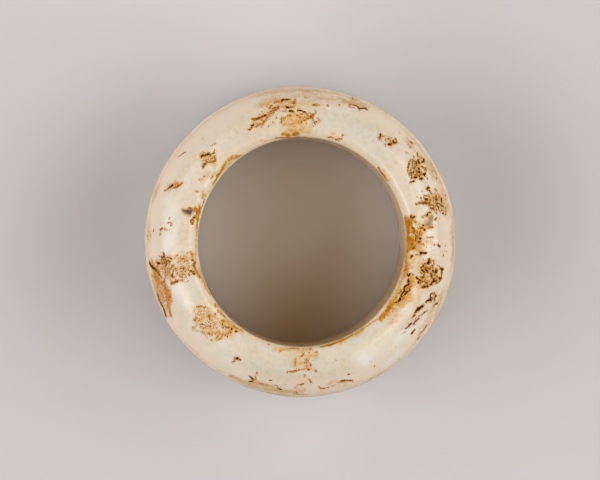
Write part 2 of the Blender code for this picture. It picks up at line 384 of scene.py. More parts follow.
# Marks of the domed end, pen by pen. Each row is a pen, its half width in pixels and its strength from
# 0 to 1, and then its strokes, clockwise from the top of the photograph. A stroke is the places that it
# runs through, x and y in turn, or its one place. The first pens draw open cracks and holes, nearly black.
PITS = (
    (0.6, 0.45, (201.4, 152.6)),
    (0.6, 0.5, (435.4, 225.4), (211.2, 177.8, 210.6, 178.8)),
    (0.6, 0.55, (442.4, 194.2), (434.8, 211.4), (439.6, 218.4)),
    (0.6, 0.6, (425.4, 224.6), (180.2, 276), (203.6, 152.5)),
    (0.6, 0.65, (430.8, 200.4)),
    (0.6, 0.7, (407.6, 327, 405.6, 328.4)),
    (0.7, 0.45, (380.6, 140.4), (199.4, 205.6, 199.4, 207.4)),
    (0.7, 0.5, (308.4, 117.8), (394.6, 143.4), (413.6, 325.2), (310.5, 366.2), (256.6, 374.6, 257.3, 372),
     (232.6, 361.8, 232.6, 363), (164.6, 229), (169.6, 229.2), (203.4, 166, 202.6, 167.4),
     (217.6, 177, 217.2, 178.6), (207, 162.2, 208.8, 161.5), (208.6, 153.4, 210.6, 154.4)),
    (0.7, 0.55, (317.4, 104.4), (319.4, 121.4), (391.4, 138.4), (348, 374.3, 349.6, 374.2),
     (174.8, 181.4, 174.4, 182.8)),
    (0.7, 0.6, (310.4, 113.4), (436, 190.4, 436.8, 191.2), (445, 199.4, 445.4, 200.4),
     (444, 207.6, 446, 208), (424.3, 216), (173.2, 277.4), (175.6, 276.2), (172.8, 273.4),
     (212.6, 153.6, 213.8, 152.4)),
    (0.7, 0.65, (444.2, 203.4)),
    (0.7, 0.7, (420.5, 197.8), (424.2, 197.4), (441.6, 202.4), (434, 209.4), (435.2, 220),
     (424.4, 329.6, 422.6, 331.4, 420.6, 332.8, 419.6, 334), (414.6, 329.6, 413.4, 331)),
    (0.7, 0.75, (445.6, 195, 445.6, 196.4), (430.4, 202.4), (435.4, 203.4, 438.8, 203.4), (441.6, 210.4),
     (439.8, 211.2), (233.2, 361.3, 234.4, 361.2)),
    (0.7, 0.8, (445, 214.2, 445.8, 214.4), (426.8, 311, 425, 311.8, 423.8, 312.8),
     (417.6, 320, 415.6, 321.2, 414.6, 322.4)),
    (0.7, 0.85, (436.4, 209.4), (446.2, 210.4)),
    (0.7, 0.9, (435.4, 199.2, 437.4, 200.4), (436, 213.2)),
    (0.8, 0.4, (162.4, 263.4), (161, 259.2), (159.4, 256.4)),
    (0.8, 0.45, (148.6, 239.4), (169.6, 217.6, 168.6, 219.2), (195.4, 206.2)),
    (0.8, 0.5, (443.6, 255, 443.6, 256), (374.7, 365.6, 374.8, 366.8), (151.6, 261.2, 152.8, 262.6),
     (160.6, 232.4, 160.2, 234.4), (148.6, 231.2), (170.8, 223.2, 171.6, 224.4, 170.8, 226)),
    (0.8, 0.55, (312.4, 118.4, 313.4, 117.6), (421.4, 228.2, 423, 228.4), (309.4, 353.2), (166, 229.4),
     (197, 219.4, 197.4, 221.8), (203.2, 155.6)),
    (0.8, 0.6, (391.4, 143), (412.6, 218.4), (414.6, 220.8, 415.6, 222.4), (425.4, 263.4),
     (421.6, 267.4, 420.8, 268), (421.4, 281.6, 423, 281.8), (429.4, 285, 431.6, 284.6),
     (417.6, 338.4, 417.4, 339.6), (304.6, 375.2, 304.5, 376.8), (289.6, 371.9, 291.6, 371.9),
     (165.5, 275.4), (171.3, 267.4, 171.2, 268.8), (167.6, 257.4, 168.6, 257.6),
     (153.6, 229.8, 153.4, 231.4), (193.4, 218.2, 194.4, 216.4), (194.4, 209, 194.4, 210.6),
     (177.6, 185.4, 179.6, 184.5)),
    (0.8, 0.65, (303.4, 111.4, 305.6, 112.4), (339.4, 105.4), (366, 108.6, 366.8, 109.8), (417, 165.4),
     (419.8, 172, 419.4, 175), (420.6, 174.8, 422, 174.8), (287.2, 371.4, 287.4, 372.2),
     (238.8, 358.9, 240, 359.6), (167.8, 271.8), (169.4, 187.8, 167, 189.4), (210.4, 156.3),
     (268.8, 108.4, 270.6, 106.6, 272, 105.6), (271.3, 111.3), (289, 115.6, 290, 115.6)),
    (0.8, 0.7, (409.3, 162, 409.2, 164.4, 408.4, 165.6, 408.2, 168), (419.3, 176.5),
     (428.8, 190, 430.4, 192, 431.4, 193.6), (433, 205.4, 435, 207.4), (432.8, 237.2), (414, 248.4),
     (252, 381.6, 253.6, 382.5), (234, 358.4, 236, 358.4), (284.8, 117.2)),
    (0.8, 0.75, (313.2, 104.5, 314.4, 104.7), (421.6, 166.4, 423.4, 167.6), (415.4, 240, 416, 238.6),
     (191.2, 220, 191, 221.6), (212.4, 176.5), (287.6, 107.4, 290, 107.6, 294, 107.2)),
    (0.8, 0.8, (429.4, 204.2, 429.6, 205.2), (434, 245), (419.4, 316.2), (408.8, 326.2),
     (248.6, 129.6, 249.4, 129.6), (251.4, 128.3), (298.6, 110.4, 301, 110.3)),
    (0.8, 0.85, (433.8, 197.4), (441, 205.2, 442.6, 206, 443.6, 207), (428.4, 228.2),
     (398.6, 301.2, 396.6, 302.4, 395.6, 302.4), (235.4, 331.4, 236.8, 331.4),
     (256.5, 118.6, 260, 117.9, 262.5, 116.8, 264.8, 115.4, 266.4, 114.8)),
    (0.8, 0.9, (355.4, 105.6, 357.8, 106.6), (435, 189.2), (436.2, 195.8, 436.2, 197.6),
     (421.6, 253.2, 426.4, 253.2), (413, 274.9), (209.4, 315.4, 209.4, 316.8)),
    (0.8, 0.95, (442.2, 213.4, 443.4, 213.6), (418.4, 318.6, 418.2, 319.4), (411.4, 333.6)),
    (0.8, 1.0, (353.6, 105, 355.4, 105.6), (359, 108.3, 362, 108.4, 366, 108.6), (436.2, 218.4),
     (407.4, 274, 408.7, 275.7, 409.9, 274), (423.4, 313.2), (413.4, 315.6, 414.2, 315.4),
     (344.4, 380.3, 348, 380.5, 351.8, 380.4)),
    (0.9, 0.5, (427.6, 283.6, 426, 283.4, 424.4, 281), (203.6, 332.6)),
    (0.9, 0.6, (313.2, 115), (385.2, 144.8, 385.4, 145.6), (413.8, 171.4, 413.6, 173.4),
     (412.4, 181.6, 414, 181), (422, 201.6, 424, 202.4), (424.6, 273.4, 424.4, 276),
     (400.6, 292, 400.4, 291), (192.6, 273.4), (159, 279.5), (164.4, 259, 166, 259.8, 167, 260.8),
     (170.4, 257.8, 171.4, 258.6), (161.4, 257.3, 163, 257)),
    (0.9, 0.65, (395.6, 138.6, 395.8, 139.6), (417.2, 176.7, 418, 176), (416.6, 231.2, 417.6, 232),
     (308.2, 369.2, 309.6, 369.4), (307.2, 361.4), (159.6, 274.6, 161.4, 277.4),
     (166.4, 262.8, 166, 264.4), (275.6, 109)),
    (0.9, 0.7, (342.4, 135.2), (388, 139.2, 389.2, 139.2), (411.8, 171.8, 411.4, 175),
     (440, 280.4, 439, 281.6), (418.4, 279.2, 420.4, 279.8), (434.4, 298, 434.6, 299.8), (165.6, 272.4),
     (163.6, 253, 164.2, 255.4, 164.2, 256.4)),
    (0.9, 0.75, (430.6, 208, 432.8, 208.4), (430.4, 227, 432.6, 227.2),
     (424.6, 264.4, 423.6, 266, 422.6, 266.8), (411.6, 286, 411, 287.4), (190.6, 271.2, 191.8, 271.4)),
    (0.9, 0.8, (416.3, 161.8, 416.2, 164), (437, 203.6, 437.4, 205),
     (442.2, 270.6, 441.6, 273, 441.6, 276, 441.2, 278.4, 440.4, 279.4), (249.8, 376.4, 251.4, 377.6)),
    (0.9, 0.85, (414.2, 167.8, 414.8, 169.2), (423, 162.2, 422, 162.4), (416.8, 171.6, 419.8, 171.6),
     (436.4, 178.5), (424.8, 202.8, 427.8, 203.4), (423.4, 225.4), (438, 244.6, 439.4, 246.2),
     (422.2, 269.4, 422.8, 271, 424, 271.8), (409.4, 290, 407.8, 291, 406.4, 292.6, 405.2, 294.2),
     (437.4, 303.2, 436, 303.4, 435, 304.4), (280.4, 389.4, 281.4, 389.6), (192.4, 223.4)),
    (0.9, 0.9, (423.5, 159, 423.5, 161.2), (411.2, 257, 412.4, 255.6), (432.6, 270.4, 433.6, 272),
     (435.6, 281, 437.2, 282.6), (432.2, 282, 431.4, 283.6, 431.8, 284.4), (435.2, 296, 436.2, 296.2),
     (416.6, 311, 415.2, 312.4), (173.2, 184.9, 171, 186.6, 169.4, 187.8)),
    (0.9, 0.95, (408.6, 284.4, 406.6, 286.2, 404.8, 286.4, 404.2, 287.4, 404.4, 290),
     (403.8, 291.4, 402.4, 293.2, 401.4, 295, 401, 296.6), (414, 323.2, 413.8, 323.8),
     (231.4, 328.6, 231.6, 329.6), (251.6, 126.2, 252.8, 125.4), (289.8, 111.2, 292.6, 111.2)),
    (0.9, 1.0, (380.5, 134.8, 380.5, 135.8), (424.5, 175.4), (425.4, 199.4, 427.6, 199.4),
     (441.2, 198.8, 441.4, 200.6), (438.2, 207.2, 438.4, 208.4), (424.4, 229.6),
     (419.8, 238.4, 420.8, 238.8), (400.2, 298.4, 399.6, 300, 398.6, 301.2), (412.6, 332.4),
     (207.4, 154.3, 208.6, 153.4), (264.8, 115.5), (281.6, 101.5, 283, 99.6, 286, 100, 289, 99.3)),
    (1.0, 0.55, (425, 267.4, 428, 268)),
    (1.0, 0.6, (432, 265.4, 433.2, 267.4), (164.8, 285.5, 165, 289), (162, 228.4, 160.8, 229.3),
     (189.6, 208.6, 190.8, 208.4)),
    (1.0, 0.65, (410.8, 141.2, 411.2, 142.4), (426.4, 325.4, 425.4, 327.6, 424.8, 328.8)),
    (1.0, 0.7, (380.2, 137.4, 379.6, 138.2), (421.2, 277.4, 423, 277.6), (434, 305.4, 433.6, 306.4),
     (316, 371), (154.3, 276, 156, 279.5)),
    (1.0, 0.8, (430.6, 296.4, 431, 294.6), (171.2, 275.4, 172.4, 275.5), (157.4, 271.8, 159.6, 274.6)),
    (1.0, 0.85, (423.7, 174.2, 425.1, 173.4), (418.4, 282.2, 419.8, 282.8)),
    (1.0, 0.9, (395, 142.6, 396.4, 142.4), (424.3, 169.6, 425.2, 170), (410.8, 216.6, 411.6, 217),
     (413.6, 217.4, 414.4, 216.6), (416.2, 277.6, 417.4, 278.4), (428.8, 300, 427, 300.8, 426.4, 301.8),
     (418.6, 337.2), (278.6, 388.3, 279.4, 388.6), (205, 156, 205.8, 154.8)),
    (1.0, 0.95, (411.6, 177.6), (252.4, 378.2, 253.2, 379)),
    (1.0, 1.0, (393.5, 141.2, 393.6, 142.4), (414.4, 177.4, 416, 177.4), (427, 189.2, 428.4, 187.6),
     (426.6, 215.4, 427.8, 214.6), (420.6, 252.4, 421.2, 254.2),
     (429, 259.4, 429.4, 261, 429, 263.2, 427.8, 263.2), (440.8, 268.8, 442.6, 269.4),
     (436.2, 269.4, 436.2, 272.4), (439, 277.6, 439.8, 278.4), (408.3, 279.9, 408.7, 282.4),
     (410.4, 324, 409.4, 325.4), (250.4, 381.4, 252, 381.6), (236.6, 358.3, 238.2, 358.3)),
    (1.1, 0.7, (430.8, 273.4, 431.6, 275.4, 432.6, 277.6, 433.2, 279.4)),
    (1.1, 0.75, (204.2, 164.6, 205.6, 163.4)),
    (1.1, 0.85, (422.8, 286.8, 424.6, 286.6, 427.6, 286.4)),
    (1.1, 0.9, (405.4, 291.6, 406.6, 292.4)),
    (1.1, 0.95, (341.4, 381, 343, 381.2)),
    (1.1, 1.0, (418.5, 168, 418.9, 169), (434.4, 280.4, 433.4, 281.6),
     (422.6, 306.2, 420.4, 307.6, 418, 309.4, 416.6, 311), (401.4, 295.8, 400.8, 296.8), (194.3, 273.8),
     (201.4, 156.2, 202.4, 155.4), (286.6, 106.5, 287.6, 107.4)),
    (1.2, 0.7, (168.4, 261, 169.4, 261.6)),
    (1.2, 0.9, (153, 267.6, 155.4, 269.4, 157.4, 271.8)),
    (1.2, 0.95, (420.6, 178.5, 422, 178.5)),
    (1.2, 1.0, (388.8, 144.4, 390.4, 144.2), (418, 160.6, 419, 162.6)),
    (1.3, 0.8, (158, 263.4, 159.2, 263.4)),
    (1.4, 0.8, (426.6, 269.6, 427.8, 271.2)),
    (1.4, 0.95, (149.8, 262.6, 151.2, 265.4, 153, 267.6)),
    (1.4, 1.0, (418, 309, 420, 307.8)),
    (1.6, 1.0, (430.8, 298.6, 430.6, 299.6),
     (158, 295, 159.3, 300, 161.3, 304, 162.8, 306.5, 164, 309, 165.5, 314, 166, 316)),
)

# Thin brown lines and specks
RUST = (
    (0.6, 0.33, (204, 324.6)),
    (0.6, 0.35, (412.4, 320.4, 411.4, 322.4), (418.6, 327.6, 420.4, 328.6),
     (401.4, 334.6, 404, 332, 406.6, 332)),
    (0.6, 0.37, (217, 327.4), (204.4, 320.4), (203.4, 314)),
    (0.6, 0.4, (426.4, 247.2), (422.6, 314.2, 420.6, 315.4), (412.6, 316.6, 412, 318.6)),
    (0.6, 0.41, (206.4, 313.4), (204, 311)),
    (0.7, 0.3, (371.6, 366.4), (306.6, 378.8), (208.4, 343.4)),
    (0.7, 0.33, (201, 306.6, 204, 307, 207.6, 307.8, 210, 309)),
    (0.7, 0.35, (382, 140.6), (445.4, 245.4, 445.4, 247.6), (309.4, 357.4), (248.8, 381.4),
     (200.6, 182.4)),
    (0.7, 0.37, (223.6, 332.4), (208.6, 334.4, 211.6, 334.2)),
    (0.7, 0.4, (304, 117.6, 305.6, 119, 304, 119.8), (312.8, 121.2, 313.8, 120.4), (316.4, 103.2),
     (320.4, 127), (396.6, 140, 396.6, 142), (430.4, 240.2), (427.4, 288.4, 429.4, 290.6),
     (434.6, 300, 435.2, 302.4), (269.6, 376.4), (167, 230.6, 168.4, 230.2)),
    (0.7, 0.41, (219.4, 338.6, 221.6, 337.4), (216.4, 340.4, 217, 340.6), (211.4, 328.8)),
    (0.7, 0.45, (390.4, 139.6, 390.8, 141.6, 391.6, 143.2), (434, 169.6, 437.6, 174.8),
     (436.6, 264, 438.4, 265.4, 439.6, 267, 440.4, 268.4), (397, 296, 395.6, 298),
     (167.2, 222.5, 169.8, 222.6), (203.8, 176.6, 204.8, 176.4), (289, 135.2, 292, 135.4)),
    (0.7, 0.49, (192.4, 327.2)),
    (0.7, 0.5, (416.4, 224.6), (419.6, 224.4), (416, 255, 420, 254.4), (180.8, 326.7),
     (204.6, 199.4, 203.2, 203, 202, 206.4, 201, 209)),
    (0.7, 0.53, (200.4, 327.2), (193.6, 320.6, 195.6, 320.4)),
    (0.7, 0.57, (200.3, 324.4, 202, 324.4), (200.5, 315)),
    (0.7, 0.6, (351.6, 335.6, 348, 337.4, 344, 339.6, 340, 341.2)),
    (0.8, 0.3, (320, 98.6, 322, 98.6), (300.6, 369.9, 305.6, 369)),
    (0.8, 0.33, (194, 310.6)),
    (0.8, 0.35, (306.6, 114.8, 308.4, 117.8), (314, 94.4, 315.4, 94.4), (382.4, 136.2, 383.4, 136.4),
     (422, 191.4), (328.4, 386.8, 332.4, 386.4, 335.6, 384.6), (318.8, 386, 320, 387.8),
     (296, 359.6, 299.4, 358.4, 301.4, 356.4), (185, 281.4, 188.6, 281.2)),
    (0.8, 0.37, (206.4, 326, 206.6, 328.4)),
    (0.8, 0.4, (306.4, 123.4), (314.2, 121.8, 314.6, 123), (408.5, 144.6), (426.6, 273.4, 429, 272.8),
     (402, 328.4), (352.4, 382, 355, 382.2), (247.6, 384), (175, 258.6), (181.6, 252, 182.4, 251.6),
     (150.4, 234.6, 150.4, 237), (206.4, 160.6, 207.4, 159.4), (208.4, 157.6), (266.8, 106.4),
     (276, 99.4, 277.6, 100.4), (297.4, 123, 301, 119.4, 305, 116.6), (299.6, 117.2, 302, 117.2)),
    (0.8, 0.41, (210.4, 325, 210.6, 327)),
    (0.8, 0.45, (302, 121.6, 306.4, 118.8, 309.4, 116.6), (414.6, 162, 414.8, 165),
     (421, 170, 421.4, 172.6), (417.6, 196.8), (426.4, 241.6), (428, 279.8, 429.6, 281.6), (307.2, 368.2),
     (306.6, 359.6, 306.2, 361), (304.4, 363.4), (203, 279, 205, 283.6, 206.8, 287.4), (261.4, 111.5),
     (264, 108.4), (283, 124.4, 286, 124)),
    (0.8, 0.49, (211.4, 339.4, 212, 340.6), (212.4, 332.4, 214.4, 332.6, 215.4, 333.6),
     (212.6, 327.2, 214, 328)),
    (0.8, 0.5, (312.4, 118.4, 310.6, 118.6), (313.6, 125.6), (315.6, 111.4, 315.8, 112.8),
     (317.8, 118.2, 319, 120.4), (353, 105, 351, 104.2), (358.4, 110.4, 360, 110.4),
     (413, 154.6, 413.4, 156, 414.6, 157.8), (411.5, 158.1), (415.4, 166.6, 416.8, 167.6),
     (409.4, 171, 410.4, 173), (415.6, 170, 417.4, 169.8), (430.4, 169.6, 432, 172, 433, 173.8),
     (426.5, 176.3, 427.5, 178.8), (404.8, 256, 403.6, 262), (436, 274.4, 437.2, 276.4, 436, 278.6),
     (395.4, 299.6, 393, 301.8), (309, 363.2, 310.6, 364.6, 310.4, 366.4, 308.8, 366.6),
     (277.6, 387, 278.4, 388), (255.4, 376.4, 256, 378, 256, 379.6), (184, 278.8, 186, 277),
     (169.4, 275.4), (163.2, 272.4), (159.4, 272.4), (166, 269), (160.6, 268.6, 162.6, 268.6),
     (178, 262.4), (176.2, 256.4, 177.4, 255.4), (192.8, 219.4, 193.8, 221.4, 193.2, 223),
     (196.2, 217.8, 197, 219.4), (199.6, 208, 199.4, 210.6, 198.8, 212.6), (293.6, 133.8, 297, 134),
     (294.6, 112.8, 295.6, 114.4, 298, 115.4, 300.6, 115, 302, 113.8)),
    (0.8, 0.53, (223.6, 335.6, 225.4, 335), (217, 311.6, 218.6, 312.8, 220, 313.2)),
    (0.8, 0.55, (427.4, 237.4, 430, 238, 432.4, 237.4), (401.4, 273.4, 399.8, 279),
     (306.2, 363.4, 306.8, 366), (269.6, 380.4, 271.2, 380.4)),
    (0.8, 0.57, (216.6, 337.6, 218, 335.8)),
    (0.8, 0.6, (308.6, 118.2, 306, 119.6, 303.4, 121, 301, 122.2, 299.4, 123.6),
     (313, 113.8, 313.2, 116.4), (400.8, 289.6, 400.8, 291.4, 399.4, 293.2, 397.2, 293.4),
     (275.2, 385.3, 277, 385.6)),
    (0.8, 0.61, (196.6, 306.8, 199, 306.2, 201, 306.6)),
    (0.8, 0.65, (314, 114.2, 312.8, 115.8, 311, 116.8, 309.6, 117.6), (422.4, 216.6, 423, 217.6)),
    (0.8, 0.7, (214.8, 314), (297.4, 110.6, 300, 110.3, 303, 111.3, 305.8, 112.6, 307.2, 114.2, 308, 116)),
    (0.8, 0.8, (193.6, 264, 194.4, 267, 196, 270, 198, 273.8, 199.6, 277.4)),
    (0.9, 0.3, (444, 251.4, 447, 250.8), (379.6, 368.4), (370.6, 361.4)),
    (0.9, 0.32, (200.6, 179.6, 203.4, 179.2, 204.6, 177.2)),
    (0.9, 0.33, (196.4, 330.4, 197.6, 331.4)),
    (0.9, 0.35, (391.4, 148.4), (312.4, 360.8), (293.8, 388, 295, 388), (283, 385.2, 285.4, 384.8),
     (272, 386.4, 274, 387), (278.6, 352.2, 280.4, 351, 284, 350.2), (159.8, 235)),
    (0.9, 0.4, (454.2, 237, 454, 239.6), (288.4, 129.4)),
    (0.9, 0.45, (434, 200.4, 433.4, 202), (432.4, 204.6, 430.8, 205.4), (336.4, 360.4),
     (309.6, 349.3, 311.6, 349.2), (261.6, 391.2, 264, 392, 268, 393.2, 272, 394),
     (166.6, 190, 164.4, 190.6), (195.4, 191.4, 197.4, 191.4), (174.8, 181, 174.6, 183, 175.4, 184.2),
     (199.4, 180)),
    (0.9, 0.5, (312.6, 105.4, 315.6, 105.4, 318.8, 105.2), (327.6, 104.6, 327.6, 106),
     (351.6, 107.4, 353.2, 107.4), (357.8, 106.8, 359, 108.4), (406, 152.6, 408, 153),
     (428.4, 200, 430.8, 201), (418, 229, 421.6, 228.2),
     (431.2, 262.4, 431.2, 260.6, 432.6, 259.8, 434.4, 260.4, 434.8, 262.6, 434, 263.8),
     (420.4, 284, 424, 285), (259.2, 383, 261.4, 383.6, 263.6, 384.4, 266.4, 385.3), (189.4, 267),
     (169.2, 263.2), (197.8, 226.8, 197.8, 228.4), (178, 157, 185, 152.3),
     (211.2, 158.8, 212.2, 157.6, 213.6, 157.2, 215, 158, 215.2, 159.4), (252.8, 125.4, 254, 124.2),
     (271.6, 113.6, 273.6, 112.6), (283, 118.8, 284.8, 117.4)),
    (0.9, 0.55, (328.6, 137.2, 331, 137.2, 333.6, 138), (410.6, 160.8, 412, 160.2, 413.8, 160.4),
     (309.4, 379.4, 310.2, 380.8, 311.6, 382.8), (296.4, 391.4, 296.6, 393),
     (291.6, 371.9, 294.4, 371.2, 298, 370.4, 300.6, 369.9),
     (262, 120.6, 264.6, 121.4, 266, 119.4, 267.4, 117.4), (287.4, 115.8, 290.4, 115.3)),
    (0.9, 0.6, (410.4, 168.8, 410.8, 170.4), (424, 167.6, 426.8, 168, 426.6, 169.8, 425, 170.4),
     (424.6, 195.6, 428.4, 195.2, 429.4, 197, 430.4, 199.4), (434.4, 292.4, 434.2, 294.2),
     (431.2, 293.8, 432.2, 293), (296.4, 386.2, 297.2, 385.2, 299.6, 384.6, 301.2, 385, 303, 383.8),
     (159.6, 263, 162.6, 263), (187.6, 253.4), (295, 99.6)),
    (0.9, 0.65, (412.6, 162, 412.6, 165.6), (407.6, 168.2, 407.9, 171, 409, 174, 409.8, 176),
     (428.4, 211.8, 429.4, 212.4, 431, 212.4), (176.4, 279.6, 178.4, 281, 180.4, 280.2, 182.6, 280.4),
     (270.6, 111.6, 273, 110.6, 275.6, 109.6)),
    (0.9, 0.7, (320.2, 388.3, 323, 388.4, 326, 388.2, 327.8, 387.7),
     (192.4, 259.6, 193.6, 260.6, 195.2, 261.8, 195.6, 262.8), (181.8, 259.6, 183, 258.6),
     (281.6, 118.8, 281.2, 121.4, 281, 122), (283.4, 111.3, 285, 111.3)),
    (0.9, 0.75, (417.4, 153.6, 417.4, 155.6), (274.4, 103, 276.6, 102, 280, 101.4)),
    (1.0, 0.3, (331.8, 133.4, 333.8, 133.4)),
    (1.0, 0.35, (399.2, 131.4, 399.2, 132.8), (399, 360.4), (272, 121.4, 274, 123.6)),
    (1.0, 0.4, (230.4, 376.4, 233, 376.3, 235.4, 377.4), (260.6, 126.6, 264, 125)),
    (1.0, 0.45, (305, 97.3, 307.4, 97.4), (431.4, 163, 431.4, 164.8),
     (411.4, 219, 411.8, 225, 413, 228.6), (164.8, 280, 165, 283.6), (276, 117.6, 276, 118.6)),
    (1.0, 0.5, (380.6, 137, 378.4, 138, 378.6, 139.8), (418.8, 157.5, 421.4, 157.2),
     (411.2, 168.2, 413, 167.8), (162, 258, 161.2, 260.6)),
    (1.0, 0.55, (438.6, 195, 439.4, 198), (418.4, 235, 419.2, 236.8),
     (215, 150.6, 214.4, 152, 213.4, 153.2, 211.6, 154.2)),
    (1.0, 0.6, (412.6, 174.4, 412.4, 177), (268.8, 344.6), (229.4, 331, 230.6, 332.4), (168.8, 300),
     (170, 296.4, 170, 297.6), (170.8, 268.6, 172, 266.4, 173.6, 264.8), (165.2, 264.4, 165, 266),
     (163.4, 260.8, 165, 263), (165.5, 256.6, 164.4, 259.4),
     (173.6, 187.4, 176.2, 187.6, 178, 186.2, 180.4, 184.6, 181.8, 183),
     (205.6, 163.4, 204, 164.8, 203.4, 166.2, 202.6, 167.6),
     (207, 162.2, 209, 161.5, 211.6, 162.1, 213.6, 161.6, 215.8, 161),
     (266.4, 115.2, 268.6, 114.4, 270, 112.6), (272.4, 109, 275, 107.4, 277.4, 107.4)),
    (1.0, 0.65, (417, 241, 419.4, 242.4, 421.4, 243.6, 423.4, 244.8),
     (225, 326.4, 226.8, 327.2, 229, 327), (256.6, 126.4, 258.6, 125, 261, 124, 263.6, 122.8)),
    (1.0, 0.7, (410.4, 182.8, 412, 181.8, 414.2, 180.8)),
    (1.1, 0.33, (219.6, 333.4, 221.4, 333.8)),
    (1.1, 0.35, (395.8, 347.8), (146.8, 235, 147.6, 238)),
    (1.1, 0.4, (355, 99.6, 358, 99.8), (368.4, 379.6, 372, 378, 376, 376, 380, 374.2, 382.4, 372.6)),
    (1.1, 0.5, (352.2, 97.6, 353.2, 99.4), (410.4, 141, 412, 143), (268.4, 126.2)),
    (1.1, 0.55, (339.4, 138.2, 341.6, 138.4)),
    (1.1, 0.6, (336, 139.4, 337.6, 139.6, 338.6, 140.4)),
    (1.1, 0.75, (416.6, 204, 419, 203.2, 423.6, 203.2)),
    (1.1, 0.8, (415.4, 240.6, 416.4, 238.8), (412.8, 248.4, 414.4, 247.6, 415.4, 245.8)),
    (1.1, 0.85, (252.6, 119.2, 255, 119.4, 257.6, 118.6, 260, 118)),
    (1.1, 0.9, (171.4, 283.6, 173.6, 282.8, 175.4, 282, 177.6, 281.6)),
    (1.2, 0.35, (413.2, 143.4, 414.4, 143), (293.6, 393, 297.6, 394.4, 301, 395.2)),
    (1.2, 0.4, (296.2, 360.4, 295, 363.4, 294.6, 366.6), (291.6, 348.2, 296, 348.4, 299, 348.8)),
    (1.2, 0.45, (291, 130.4, 292.6, 130.6)),
    (1.2, 0.5, (349.6, 104, 349.6, 106.6)),
    (1.2, 0.55, (414.8, 173.8, 417.4, 174.2), (161.4, 283.4, 163.4, 281.6)),
    (1.2, 0.8, (411.6, 226.4, 413.6, 229.4, 414.6, 231.6)),
    (1.3, 0.4, (181.4, 266.4, 184, 267.6, 183.4, 269.4)),
    (1.3, 0.75, (412.6, 232, 415, 233.4, 416.6, 235.6, 416.8, 238)),
    (1.3, 0.8, (293.2, 103.4, 294.4, 102)),
    (1.4, 0.3, (316.4, 352.4, 316.2, 354.6), (212, 145.4, 215, 144.4)),
    (1.4, 0.5, (430, 269, 431.4, 267.4)),
    (1.4, 0.65, (420.4, 232.2, 421, 234.4)),
    (1.6, 0.3, (409, 146.8, 411.4, 147.4)),
    (1.6, 0.35, (303.4, 353.4, 301.8, 355.6)),
    (1.6, 0.55, (411, 243.2, 412.4, 244.6)),
)

# Orange stain, strongest beside the bore
AMBER = (
    (0.9, 0.6, (155.4, 191.4)),
    (0.9, 0.7, (353, 98.4)),
    (1.0, 0.5, (336.7, 139.3, 341, 138.2)),
    (1.0, 0.6, (312, 348, 302, 348.4, 290, 348.2)),
    (1.0, 0.7, (192.8, 259, 195.6, 262.6)),
    (1.0, 0.8, (193.6, 264, 195.2, 268, 197.2, 272, 199.8, 277)),
    (1.0, 0.9, (192.8, 223.4, 194.6, 220, 196, 217)),
    (1.1, 0.4, (367.6, 381.4, 376.5, 375.6, 383.5, 371.6, 399.5, 360)),
    (1.2, 0.5, (380, 317.6, 374.6, 321.4)),
    (1.2, 0.9, (286, 135.6, 295, 136, 303.4, 136.4)),
    (1.3, 0.9, (200.4, 207, 199, 213, 198.2, 219, 197.8, 228)),
    (1.3, 1.0, (196.2, 214.6, 193.8, 218.4, 191.6, 221.2)),
    (1.4, 0.6, (362, 328.4, 358, 331, 353.4, 334.6)),
    (1.4, 0.9, (326, 346, 320.4, 346.8), (218.8, 175.6, 216.6, 180, 214, 183.6, 212, 186.6)),
    (1.5, 0.95, (222.8, 320, 222.8, 321.4)),
    (1.6, 0.4, (197.2, 228, 196.8, 246)),
    (1.6, 0.5, (202.4, 275, 204.6, 281)),
    (1.6, 0.55, (217.4, 311, 220.4, 313.4)),
    (1.6, 0.6, (391, 299.6, 390.4, 301)),
    (1.6, 0.8, (396.3, 302, 392.4, 303.6)),
    (1.6, 0.9, (276, 138.4, 290, 137.4, 306, 137.4)),
    (1.6, 1.0, (353.4, 334.6, 350, 336.4, 344, 339.4, 338, 342, 332, 344.4, 326, 346)),
    (1.7, 0.9, (225.2, 163.4, 222.6, 168, 220.4, 172, 218.8, 175.6)),
    (1.8, 0.5, (398, 295, 395, 300), (374.6, 320.6, 372, 322.6, 367, 326, 362, 328.2)),
    (1.8, 0.55, (203.2, 192.6, 202.6, 198.6)),
    (1.8, 0.7, (221, 314, 224, 316)),
    (1.8, 0.8, (214.8, 303.4, 215.6, 306.4)),
    (1.8, 1.0, (293.4, 134, 297.4, 133.6)),
    (1.9, 1.0, (378.6, 168.4, 382.4, 174, 386.4, 180)),
    (2.0, 0.75, (191.2, 251.6, 191.8, 256)),
    (2.0, 0.8, (411.6, 216.5, 412.6, 222)),
    (2.2, 0.4, (208.6, 193, 206, 199, 204, 204)),
    (2.2, 0.8, (283, 134.6, 289, 134.8)),
    (2.4, 0.25, (229, 164, 225.6, 169)),
    (2.4, 0.75, (232, 325, 236, 327.6, 241, 329.6)),
    (2.4, 0.8, (403, 297, 397, 303)),
    (2.6, 0.55, (240, 156.2, 234, 157.6, 230, 159.4, 226.4, 162)),
    (2.6, 0.7, (411.6, 279, 409.6, 287, 404, 293)),
    (2.6, 0.85, (385, 313, 380.6, 319)),
    (2.6, 1.0, (196.8, 209.4, 197.4, 214)),
    (3.0, 0.35, (227.6, 321, 230.6, 324.4)),
    (3.0, 0.5, (394, 308, 388, 314)),
    (3.2, 0.9, (393, 303.6, 388, 309, 385, 313)),
    (3.4, 0.9, (408.6, 220.6, 408.2, 226, 408.6, 232.6)),
    (4.2, 0.5, (407, 250, 406.2, 262, 404.6, 276)),
    (4.4, 0.72, (407.8, 238, 407.6, 250)),
    (4.6, 1.0, (410.8, 239.6, 410, 246.6)),
    (5.0, 0.6, (406.4, 220, 407.2, 229)),
)

